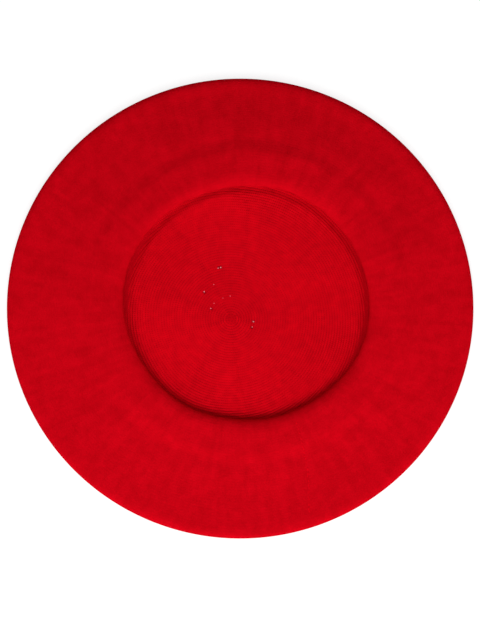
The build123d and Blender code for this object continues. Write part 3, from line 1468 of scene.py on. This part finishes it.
@dataclass
class KnitLoops:
    """The plain knit on the inside of the crown: plaited columns of loops that run round its centre.

    The loops reach out to extent, and no farther than seen from the opening's centre. leg_turn is
    how far a loop's legs lean apart, in degrees, and the leg shares are their sizes against the
    course and the column. A loop is larger by slack_share where the knit is slack, which is read
    slack_shift farther east, and smaller by seam_share on a wedge line. It stays hole_gap off a
    pinhole.
    """

    cloth: Cloth
    tree: bpy.types.NodeTree
    column: float = 1.56 * MM
    course: float = 1.30 * MM
    lift: float = 0.26 * MM
    depth: float = 0.12 * MM
    leg_turn: float = 20.0
    leg_length: float = 0.74
    leg_width: float = 0.24
    leg_offset: float = 0.195
    seen: float = 80.0 * MM
    extent: float = 95.0 * MM
    slack_share: float = 0.06
    slack_shift: float = 0.3
    seam_share: float = 0.08
    seam_width: float = 0.8 * MM
    hole_gap: float = 0.65 * MM
    unevenness: float = 0.07
    seed: int = 21

    def shape(self) -> bpy.types.Object:
        """One knitted loop: two leaf-shaped legs that lean apart.

        Returns:
            The loop, which the placing tree sets on every point.
        """
        points, faces = [], []
        long, wide = self.course * self.leg_length, self.column * self.leg_width
        for side in (1, -1):
            centre = np.array([0.0, side * self.column * self.leg_offset, 0.0])
            lean = math.radians(self.leg_turn) * side
            along = np.array([math.cos(lean), math.sin(lean), 0])
            across = np.array([-math.sin(lean), math.cos(lean), 0])
            up = np.array([0, 0, self.lift])
            first = len(points)
            heel, toe = centre - along * long * 0.45, centre + along * long * 0.5
            points += [centre - along * long, centre + along * long]
            for place in (heel, toe):
                points += [place - across * wide, place + up, place + across * wide]
            leg = [(0, 2, 3), (0, 3, 4), (2, 5, 6, 3), (3, 6, 7, 4), (1, 6, 5), (1, 7, 6), (0, 4, 7, 1, 5, 2)]
            faces += [tuple(first + v for v in face) for face in leg]
        sunk = np.array(points) - [0, 0, self.depth]
        loop = new_piece("loop_shape", sunk, faces)
        tidy_normals(loop.data)
        return loop

    def points(self, holes: np.ndarray) -> np.ndarray:
        """Where the loops sit.

        Args:
            holes: places that stay open.

        Returns:
            Rows of x, y, direction of the column and size.
        """
        p = self.cloth.pattern
        rows = []
        draw = np.random.default_rng(self.seed)
        for ring in range(int(self.extent / self.column)):
            reach = (ring + 0.5) * self.column
            count = round(TURN * reach / self.course)
            angle = TURN * (np.arange(count) + draw.uniform()) / count
            x = p.knit_centre[0] + reach * np.cos(angle)
            y = p.knit_centre[1] + reach * np.sin(angle)
            sway = self.cloth.wander.at(x, y) * min(1.0, ring / 8)
            x, y = x + sway * np.cos(angle), y + sway * np.sin(angle)
            away = self.cloth.wedges.distance(angle, reach, self.cloth.wedges.crown_angle(reach))
            size = 1.0 + self.slack_share * self.cloth.crown_slack.at(x + self.slack_shift, y) / MM
            size = size - self.seam_share * np.exp(-((away / self.seam_width) ** 2))
            near = np.hypot(x - p.opening_centre[0], y - p.opening_centre[1]) < self.seen
            if len(holes):
                gaps = np.min(np.hypot(x[:, None] - holes[:, 0], y[:, None] - holes[:, 1]), axis=1)
                near &= gaps > self.hole_gap
            rows.append(np.stack([x, y, angle + math.pi / 2, size], axis=1)[near])
        return np.concatenate(rows)

    def build(self, name: str, rows: np.ndarray, material: bpy.types.Material) -> bpy.types.Object:
        """Sets a loop on each point.

        Args:
            name: the piece's name.
            rows: the points, from points().
            material: the yarn's material.

        Returns:
            The piece.
        """
        x, y, heading, size = rows.T
        z = self.cloth.inside_height(x, y)
        base = new_piece("loop_points", np.stack([x, y, z], axis=1), [])
        give(base, "upward", self.cloth.inside_normal(x, y))
        give(base, "along", np.stack([np.cos(heading), np.sin(heading), np.zeros_like(x)], axis=1))
        give(base, "size", size)
        values = {
            "Shape": self.shape(),
            "Unevenness": self.unevenness,
            "Seed": self.seed,
            "Material": material,
        }
        return run_tree(name, base, self.tree, values)


@dataclass
class Nap:
    """The brushed fibres that stand off the fulled cloth.

    bend lists a fibre's sections: height, drift to one side and thickness, as shares.
    """

    tree: bpy.types.NodeTree
    thickness: float = 0.075
    bend: tuple = ((0.0, 0.0, 1.0), (0.5, 0.10, 0.8), (0.85, 0.34, 0.5))
    tip_drift: float = 0.62

    def fibre(self) -> bpy.types.Object:
        """One fibre of length 1, three-sided, bent over and closed.

        Returns:
            The fibre, which the nap tree sets on every root.
        """
        points = []
        for height, drift, radius in self.bend:
            for k in range(3):
                a = TURN * k / 3
                r = self.thickness * radius / 2
                points.append((drift + r * math.cos(a), r * math.sin(a), height))
        points.append((self.tip_drift, 0.0, 1.0))
        faces = whole(grid_faces(3, 3))
        faces += [(2, 1, 0), (6, 7, 9), (7, 8, 9), (8, 6, 9)]
        fibre = new_piece("fibre_shape", np.array(points), faces)
        tidy_normals(fibre.data)
        return fibre

    def grow(
        self,
        name: str,
        base: bpy.types.Object,
        density: float,
        lengths: tuple,
        lean: float,
        seed: int,
        material: bpy.types.Material,
    ) -> bpy.types.Object:
        """Grows the nap of one face.

        Args:
            name: the piece's name.
            base: the face, with the attribute nap. It is used up.
            density: fibres per square metre.
            lengths: shortest and longest fibre.
            lean: how far the fibres lie over, in degrees.
            seed: number that fixes the random draw.
            material: the fibres' material.

        Returns:
            The piece.
        """
        values = {
            "Fibre": self.fibre(),
            "Density": density,
            "Shortest": lengths[0],
            "Longest": lengths[1],
            "Lean": math.radians(lean),
            "Seed": seed,
            "Material": material,
        }
        return run_tree(name, base, self.tree, values)


@dataclass
class Seams:
    """The linking seam, the whip stitches of the band and the threads at the knit's centre.

    The seam runs on the crown from seam_start to seam_end, and its centre slides from the knit's
    to the beret's between slide_start and the rim. hook is a whip stitch seen from the side, and
    tails are the knot's two ends, with a heading in radians and a length each.
    """

    cloth: Cloth
    tree: bpy.types.NodeTree
    pitch: float = 2.4 * MM
    stitch: float = 1.5 * MM
    stitch_rise: float = 0.16 * MM
    yarn: float = 0.26 * MM
    seam_start: float = 15.0 * MM
    seam_end: float = 118.0 * MM
    slide_start: float = 88.0 * MM
    slide_run: float = 47.0 * MM
    hook: tuple = ((-3.6, -0.75), (-1.5, -1.0), (0.2, -0.95), (0.95, -0.2), (1.15, 0.7))
    hook_thread: float = 0.28 * MM
    ply_run: float = 1.6 * MM
    knot: float = 0.36 * MM
    knot_thread: float = 0.26 * MM
    tails: tuple = ((0.15, 7.2 * MM), (-0.75, 5.0 * MM))
    around: int = 1440
    seed: int = 31

    def dash(self) -> bpy.types.Object:
        """One short stitch of yarn along X.

        Returns:
            The stitch, which the placing tree sets on every point.
        """
        along = np.linspace(-0.5, 0.5, 6) * self.stitch
        rise = self.stitch_rise * np.cos(np.linspace(-math.pi / 2, math.pi / 2, 6))
        path = np.stack([along, np.zeros(6), rise], axis=1)
        radius = self.yarn * np.sqrt(np.cos(np.linspace(-1.45, 1.45, 6)))
        points, faces = tube(path, radius, 6, closed=False)
        dash = new_piece("dash_shape", points, faces)
        tidy_normals(dash.data)
        return dash

    def path_rows(self) -> tuple:
        """Where the stitches sit on crown and underside.

        Returns:
            Their places, the cloth's directions there and the stitches' headings.
        """
        p, wedges = self.cloth.pattern, self.cloth.wedges
        reach = np.arange(self.seam_start, self.seam_end, self.pitch)
        share = np.clip((reach - self.slide_start) / self.slide_run, 0, 1)
        angle = wedges.crown_angle(reach)
        x = p.knit_centre[0] * (1 - share) + reach * np.cos(angle)
        y = p.knit_centre[1] * (1 - share) + reach * np.sin(angle)
        inside = np.stack([x, y, self.cloth.inside_height(x, y) + 0.12 * MM], axis=1)
        up = self.cloth.inside_normal(x, y)
        line = self.cloth.line[self.cloth.underside_rings]
        length = self.cloth.length[self.cloth.underside_rings]
        outer = self.cloth.faces_of(self.cloth.line, self.around)[0][self.cloth.underside_rings]
        spots, ups = [], []
        for run in np.arange(length[0] + 9 * MM, length[-1] - 3 * MM, self.pitch * 0.85):
            ring = int(np.searchsorted(length, run))
            seam = float(wedges.underside_angle(line[ring, 0]))
            at = round(seam / TURN * self.around) % self.around
            spots.append(outer[ring, at] - [0, 0, 0.06 * MM])
            after, before = outer[min(ring + 1, len(line) - 1), at], outer[ring - 1, at]
            across = outer[ring, (at + 2) % self.around] - outer[ring, at - 2]
            normal = np.cross(after - before, across)
            ups.append(normal / np.linalg.norm(normal) * np.sign(normal[2]))
        spots, ups = np.array(spots), np.array(ups)
        places = np.concatenate([inside, spots])
        headings = np.concatenate([np.gradient(inside, axis=0), np.gradient(spots, axis=0)])
        headings /= np.linalg.norm(headings, axis=1)[:, None]
        return places, np.concatenate([up, ups]), headings

    def linking_seam(self, material: bpy.types.Material) -> bpy.types.Object:
        """The stitches of the seam that closes the last wedge to the first.

        Args:
            material: the yarn's material.

        Returns:
            The piece.
        """
        places, up, along = self.path_rows()
        base = new_piece("seam_points", places, [])
        give(base, "upward", up)
        give(base, "along", along)
        give(base, "size", np.ones(len(places)))
        values = {"Shape": self.dash(), "Unevenness": 0.15, "Seed": self.seed, "Material": material}
        return run_tree("linking_seam_yarn", base, self.tree, values)

    def whip_stitches(self, count: int, material: bpy.types.Material) -> bpy.types.Object:
        """Hooked stitches over the inner band's edge.

        Args:
            count: how many stitches go round.
            material: the thread's material.

        Returns:
            The piece.
        """
        p = self.cloth.pattern
        level = self.cloth.line[-1, 1]
        hook = np.array(self.hook) * MM
        path = np.stack([hook[:, 0], np.zeros(len(hook)), hook[:, 1]], axis=1)
        points, faces = tube(smooth_line_3d(path, 9), self.hook_thread, 6, closed=False)
        shape = new_piece("hook_shape", points, faces)
        tidy_normals(shape.data)
        angle = TURN * np.arange(count) / count
        far = p.band_edge + self.cloth.oval * np.cos(2 * angle)
        x = p.opening_centre[0] + far * np.cos(angle)
        y = p.opening_centre[1] + far * np.sin(angle)
        base = new_piece("hook_points", np.stack([x, y, level + self.cloth.tilt * y], axis=1), [])
        give(base, "upward", np.tile([0.0, 0.0, 1.0], (count, 1)))
        give(base, "along", np.stack([np.cos(angle), np.sin(angle), np.zeros(count)], axis=1))
        give(base, "size", np.ones(count))
        values = {"Shape": shape, "Unevenness": 0.06, "Seed": self.seed + 1, "Material": material}
        return run_tree("band_whip_stitches", base, self.tree, values)

    def plied_ring(self, centre: np.ndarray, radius: float, thread: float, height: float) -> tuple:
        """A ring of two-ply thread on the crown's inner face.

        Args:
            centre: its centre.
            radius: the ring's radius.
            thread: the thread's thickness.
            height: how far the thread's middle is above the cloth.

        Returns:
            Points and faces.
        """
        angle = np.linspace(0, TURN, 96, endpoint=False)
        parts = []
        twists = round(TURN * radius / self.ply_run)
        for ply in (0, math.pi):
            twist = angle * twists + ply
            far = radius + thread / 4 * np.cos(twist)
            x, y = centre[0] + far * np.cos(angle), centre[1] + far * np.sin(angle)
            z = self.cloth.inside_height(x, y) + height + thread / 4 * np.sin(twist)
            parts.append(tube(np.stack([x, y, z], axis=1), thread / 4 * 1.1, 8, closed=True))
        return joined(parts)

    def centre_gather(self, material: bpy.types.Material) -> bpy.types.Object:
        """The thread that draws the centre loops together.

        Args:
            material: the thread's material.

        Returns:
            The piece.
        """
        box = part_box("centre_gather")
        thread = box[1][2] - box[0][2]
        radius = (box[1][0] - box[0][0]) / 2 - thread / 2
        ring = self.plied_ring(self.cloth.pattern.knit_centre, radius, thread * 0.8, 0.12 * MM)
        return dressed("centre_gather_thread", *ring, material)

    def centre_knot(self, material: bpy.types.Material) -> bpy.types.Object:
        """The overhand knot of that thread and its two short ends.

        Args:
            material: the thread's material.

        Returns:
            The piece.
        """
        centre = self.cloth.pattern.knit_centre
        size, thread = self.knot, self.knot_thread
        t = np.linspace(0, TURN, 72, endpoint=False)
        x = centre[0] + size * (np.sin(t) + 2 * np.sin(2 * t)) * 0.8
        y = centre[1] + size * (np.cos(t) - 2 * np.cos(2 * t)) * 0.8
        floor = float(self.cloth.inside_height(np.array([centre[0]]), np.array([centre[1]]))[0])
        z = floor + 0.45 * MM - size * 0.8 * np.sin(3 * t)
        parts = [tube(np.stack([x, y, z], axis=1), thread, 8, closed=True)]
        for heading, length in self.tails:
            run = np.linspace(0.6 * MM, length, 16)
            bend = heading + 0.5 * np.sin(run / length * 4)
            tail_x, tail_y = centre[0] + run * np.cos(bend), centre[1] + run * np.sin(bend)
            over = np.maximum(0, 0.5 * MM * np.cos((run - 2.3 * MM) / (1.5 * MM)))
            tail_z = self.cloth.inside_height(tail_x, tail_y) + 0.22 * MM + over
            tail = np.stack([tail_x, tail_y, tail_z], axis=1)
            parts.append(tube(tail, thread * 0.9, 8, closed=False))
        return dressed("centre_knot_thread", *joined(parts), material)


@dataclass
class Stalk:
    """The short knitted stalk on the outside of the crown, folded into its dimple."""

    pattern: Pattern
    columns: int = 6
    course: float = 1.1 * MM
    column_depth: float = 0.10 * MM
    course_depth: float = 0.04 * MM
    rings: int = 56
    around: int = 48

    def build(self, material: bpy.types.Material) -> bpy.types.Object:
        """Makes the stalk as a closed knitted tube with rounded ends.

        Args:
            material: the yarn's material.

        Returns:
            The piece.
        """
        p, rings, around = self.pattern, self.rings, self.around
        radius, run = p.stalk_radius, p.stalk_length - p.stalk_radius
        along = np.linspace(-radius, run + radius, rings)
        end = np.clip(np.maximum(-along, along - run), 0, radius)
        skin = np.sqrt(np.maximum(radius**2 - end**2, 0))
        angle = np.linspace(0, TURN, around, endpoint=False)
        turn, reach = np.meshgrid(angle, along)
        place = turn * self.columns / TURN
        groove = np.abs(np.sin(math.pi * place)) ** 0.7
        leg = np.where(place % 1 < 0.5, 1, -1)
        slant = np.sin(TURN * (reach / self.course + leg * (place % 0.5)))
        depth = self.column_depth * (groove - 1) + self.course_depth * (slant - 1)
        far = np.maximum(skin[:, None] + depth * (skin[:, None] / radius), 0.02 * MM)
        heading = np.array([math.cos(p.stalk_heading), math.sin(p.stalk_heading), 0])
        across = np.array([-heading[1], heading[0], 0])
        root = np.array([*p.knit_centre, p.stalk_height])
        points = (
            root
            + reach[..., None] * heading
            + (far * np.cos(turn))[..., None] * across
            + (far * np.sin(turn))[..., None] * np.array([0, 0, 1.0])
        ).reshape(-1, 3)
        faces = whole(grid_faces(rings, around))
        faces.append(tuple(range(around - 1, -1, -1)))
        faces.append(tuple(range((rings - 1) * around, rings * around)))
        return dressed("stalk_knit", points, faces, material)


@dataclass
class Elastic:
    """The covered round elastic inside the rolled edge."""

    cloth: Cloth
    radius: float = 1.05 * MM
    plies: int = 3
    twists: int = 60
    inset: float = 1.9 * MM
    sag: float = 0.35 * MM
    around: int = 720

    def build(self, material: bpy.types.Material) -> bpy.types.Object:
        """Makes the elastic as a ring of twisted strands.

        Args:
            material: the elastic's material.

        Returns:
            The piece.
        """
        p = self.cloth.pattern
        ring = p.opening_radius + p.cloth + self.inset
        level = (p.hem_bottom + p.hem_top) / 2 - self.cloth.settle - self.sag
        angle = np.linspace(0, TURN, self.around, endpoint=False)
        parts = []
        for ply in range(self.plies):
            twist = angle * self.twists + TURN * ply / self.plies
            far = ring + self.cloth.oval * np.cos(2 * angle) + self.radius * 0.5 * np.cos(twist)
            x, y = p.opening_centre[0] + far * np.cos(angle), p.opening_centre[1] + far * np.sin(angle)
            z = level + self.cloth.tilt * y + self.radius * 0.5 * np.sin(twist)
            parts.append(tube(np.stack([x, y, z], axis=1), self.radius * 0.52, 6, closed=True))
        return dressed("elastic_strands", *joined(parts), material)


# ---------------------------------------------------------------- studio


@dataclass
class Studio:
    """Floor, lights, white surround and camera."""

    pattern: Pattern
    sensor: float = 36.0
    camera_height: float = 2.2
    frame_height: float = 0.374325
    look_x: float = -0.1 * MM
    look_y: float = -0.85 * MM
    key_power: float = 5.7
    key_reach: float = 0.60
    key_height: float = 0.68
    key_aside: float = 0.02
    key_size: tuple = (1.0, 0.8)
    tent_level: float = 0.73
    tent_bias: float = 1.0
    floor_half: float = 4.0
    floor_plain: tuple = (0.8, 0.8, 0.8, 1)
    floor_seen: tuple = (0.25, 0.25, 0.25, 1)
    floor_glow: float = 0.80

    def camera(self) -> None:
        """A camera straight above the beret."""
        data = bpy.data.cameras.new("camera")
        data.sensor_fit = "AUTO"
        data.sensor_width = self.sensor
        data.lens = self.sensor * (self.camera_height - self.pattern.rim_height / 2) / self.frame_height
        data.clip_end = 20.0
        camera = bpy.data.objects.new("camera", data)
        camera.location = (self.look_x, self.look_y, self.camera_height)
        bpy.context.scene.collection.objects.link(camera)
        bpy.context.scene.camera = camera

    def floor(self) -> None:
        """A pale floor that looks white and keeps the beret's soft shadow."""
        corners = np.array([(-1, -1, 0), (1, -1, 0), (1, 1, 0), (-1, 1, 0)]) * self.floor_half
        floor = new_piece("floor", corners, [(0, 1, 2, 3)])
        material = bpy.data.materials.new("floor_white")
        material.use_nodes = True
        material.node_tree.nodes.clear()
        tree = Tree(material.node_tree)
        seen = tree.seen_by_camera()
        plain = tree.add("ShaderNodeBsdfDiffuse", Color=self.floor_plain)
        soft = tree.add("ShaderNodeBsdfDiffuse", Color=self.floor_seen)
        glow = tree.add("ShaderNodeEmission", Color=(1, 1, 1, 1), Strength=self.floor_glow)
        both = tree.add("ShaderNodeAddShader", i0=soft.outputs[0], i1=glow.outputs[0])
        mix = tree.add("ShaderNodeMixShader", i0=seen, i1=plain.outputs[0], i2=both.outputs[0])
        tree.add("ShaderNodeOutputMaterial", Surface=mix.outputs[0])
        floor.data.materials.append(material)

    def lights(self) -> None:
        """A close soft key from the front and a white tent that is brighter in front than behind."""
        data = bpy.data.lights.new("key", "AREA")
        data.shape = "RECTANGLE"
        data.size, data.size_y = self.key_size
        data.energy = self.key_power
        key = bpy.data.objects.new("key", data)
        key.location = (self.key_aside, -self.key_reach, self.key_height)
        lean, aside = math.atan2(self.key_reach, self.key_height), math.atan2(self.key_aside, self.key_reach)
        key.rotation_euler = (lean, 0, aside)
        key.visible_camera = False
        bpy.context.scene.collection.objects.link(key)
        world = bpy.data.worlds.new("surround")
        bpy.context.scene.world = world
        world.use_nodes = True
        world.node_tree.nodes.clear()
        tree = Tree(world.node_tree)
        seen = tree.seen_by_camera()
        direction = tree.add("ShaderNodeTexCoord").outputs["Generated"]
        towards = tree.add("ShaderNodeSeparateXYZ", Vector=direction)
        front = tree.maths("MULTIPLY", towards.outputs[1], -self.tent_bias * self.tent_level)
        tent = tree.maths("ADD", front, self.tent_level)
        strength = tree.add("ShaderNodeMix", {"data_type": "FLOAT"})
        tree.feed(strength.inputs[0], seen)
        tree.feed(strength.inputs[2], tent)
        tree.feed(strength.inputs[3], 1.0)
        back = tree.add("ShaderNodeBackground", Color=(1, 1, 1, 1), Strength=strength.outputs[0])
        tree.add("ShaderNodeOutputWorld", Surface=back.outputs[0])

    def build(self) -> None:
        """Sets up the whole studio."""
        self.camera()
        self.floor()
        self.lights()
        bpy.context.scene.view_settings.view_transform = "Standard"


# ---------------------------------------------------------------- the beret


@dataclass
class Beret:
    """All visible pieces of the beret, each riding on its body.

    The pinholes lie on a ring round the knit's centre, at turns in degrees, and a few stray ones
    at a reach and a turn each. whip_count is how many whip stitches hold the band.
    """

    pattern: Pattern
    pinhole_ring: float = 14.1 * MM
    pinhole_turns: tuple = (91, 109, 136, 151, -7, -21)
    stray_pinholes: tuple = ((32 * MM, 100), (32 * MM, 103.4), (23.4 * MM, 116), (23.4 * MM, 134))
    whip_count: int = 60
    nap_seed: int = 41

    def __post_init__(self):
        """Builds the shared trees, groups and materials."""
        self.cloth = Cloth(self.pattern)
        self.effects = Effects()
        self.paint = {finish: finish.value.build(self.effects) for finish in Finish}
        self.placing = placing_tree()
        self.nap = Nap(nap_tree())

    def keep(self, piece: bpy.types.Object, body: str, slot: str, *nodes: str) -> bpy.types.Object:
        """Attaches a finished piece to its body, hides the CAD nodes that it stands for and logs its size.

        Args:
            piece: the piece.
            body: the body that it rides on.
            slot: the record's material slot. It is not used.
            nodes: CAD nodes that it stands for.

        Returns:
            The piece.
        """
        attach(piece, body)
        if nodes:
            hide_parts(*nodes)
        LOG.info("%s: %d faces", piece.name, len(piece.data.polygons))
        return piece

    def pinholes(self, line: np.ndarray) -> tuple:
        """Cells of the crown's grid that stay open.

        Args:
            line: the middle line of the crown.

        Returns:
            The cells, as (ring, place in the ring), and where they are.
        """
        turns = [(self.pinhole_ring, t) for t in self.pinhole_turns] + list(self.stray_pinholes)
        cells, places = [], []
        around = self.cloth.crown_around
        for reach, turn in turns:
            ring = int(np.searchsorted(line[:, 0], reach)) - 1
            at = round(math.radians(turn) / TURN * around) % around
            cells.append((ring, at))
            angle = TURN * (at + 0.5) / around
            middle = line[ring : ring + 2, 0].mean()
            heading = np.array([math.cos(angle), math.sin(angle)])
            places.append(self.pattern.knit_centre + middle * heading)
        return cells, np.array(places)

    def make_cloth(self) -> None:
        """Crown, underside and hem."""
        cloth = self.cloth
        cells, self.hole_places = self.pinholes(cloth.line[cloth.crown_rings])
        crown = cloth.slab("crown_cloth", cloth.crown_rings, cloth.crown_around, cells)
        under = cloth.slab("underside_cloth", cloth.underside_rings, cloth.ring_around)
        hem = cloth.slab("hem_cloth", cloth.hem_rings, cloth.ring_around)
        # The crown's cloth takes the wool painted darker as shade between the loops.
        for piece, finish in ((crown, Finish.INSIDE), (under, Finish.NAPPED), (hem, Finish.EDGE)):
            piece.data.materials.append(self.paint[finish])
        self.keep(crown, "beret", "wool_inside", "crown", "rim_fold")
        self.keep(under, "beret", "wool_outside", "underside")
        self.keep(hem, "beret", "wool_edge", "opening_roll", "inner_band")

    def make_loops(self) -> None:
        """The knitted loops on the inside of the crown."""
        loops = KnitLoops(self.cloth, self.placing)
        rows = loops.points(self.hole_places)
        centre = self.pattern.knit_centre
        reach = np.hypot(rows[:, 0] - centre[0], rows[:, 1] - centre[1])
        inner = reach < np.median(reach)
        for name, part in (("crown_loops_inner", inner), ("crown_loops_outer", ~inner)):
            # The loops take the wool painted lighter than the rest.
            self.keep(loops.build(name, rows[part], self.paint[Finish.LOOP]), "beret", "wool_inside")

    def make_nap(self) -> None:
        """The brushed fibres of the outside and a thin fuzz on the rolled edge."""
        cloth, rim_at = self.cloth, self.pattern.flat_radius
        around, low_around = cloth.ring_around, cloth.crown_around
        under, crown = cloth.line[cloth.underside_rings], cloth.line[cloth.crown_rings]
        run = cloth.length[cloth.hem_rings] - cloth.length[cloth.hem_rings][0]
        low_rim = np.clip((crown[:, 0] - rim_at + 2 * MM) / (4 * MM), 0, 1)
        at_rim = np.clip((under[:, 0] - rim_at + 4 * MM) / (5 * MM), 0, 1)
        on_roll = np.clip((12 * MM - run) / (3 * MM), 0, 1)
        # name, rings, vertices in a ring, weight, fibres per square metre, lengths in mm, lean
        plots = (
            ("nap_underside", cloth.underside_rings, around, np.ones(len(under)), 2.6e5, (0.9, 2.0), 78),
            ("nap_rim", cloth.underside_rings, around, at_rim, 1.5e6, (0.8, 1.8), 66),
            ("nap_crown", cloth.crown_rings, low_around, 0.25 + 0.75 * low_rim, 2.2e5, (0.8, 1.7), 80),
            ("nap_roll", cloth.hem_rings, around, on_roll, 6.0e5, (0.5, 1.2), 72),
        )
        for seed, (name, part, count, weight, density, lengths, lean) in enumerate(plots, self.nap_seed):
            face = cloth.napped_face(part, count, weight)
            metres = (lengths[0] * MM, lengths[1] * MM)
            piece = self.nap.grow(name, face, density, metres, lean, seed, self.paint[Finish.FIBRE])
            self.keep(piece, "beret", "wool_edge" if name == "nap_roll" else "wool_outside")

    def make_threads(self) -> None:
        """Seam yarn, whip stitches, gathering thread, knot and elastic."""
        seams = Seams(self.cloth, self.placing)
        # Every thread takes the yarn painted lighter as sheen.
        yarn = self.paint[Finish.YARN_PAINTED_SHEEN]
        self.keep(seams.linking_seam(yarn), "beret", "seam_yarn", "linking_seam")
        self.keep(seams.whip_stitches(self.whip_count, yarn), "beret", "thread", "band_stitching")
        self.keep(seams.centre_gather(yarn), "beret", "thread", "centre_gather")
        self.keep(seams.centre_knot(yarn), "beret", "thread", "centre_knot")
        self.keep(Elastic(self.cloth).build(yarn), "beret", "elastic", "elastic_cord")

    def make_stalk(self) -> None:
        """The stalk, on its own body."""
        # The stalk takes the loops' wool, painted lighter than the rest of the wool.
        self.keep(Stalk(self.pattern).build(self.paint[Finish.LOOP]), "stalk", "wool_outside", "stalk")

    def build(self) -> None:
        """Builds every piece in order."""
        self.make_cloth()
        self.make_loops()
        self.make_nap()
        self.make_threads()
        self.make_stalk()


def main() -> None:
    """Builds the studio and the beret."""
    logging.basicConfig(level=logging.INFO, format="%(message)s")
    pattern = Pattern.from_frame(frame)
    Studio(pattern).build()
    Beret(pattern).build()


if __name__ == "__main__":
    main()
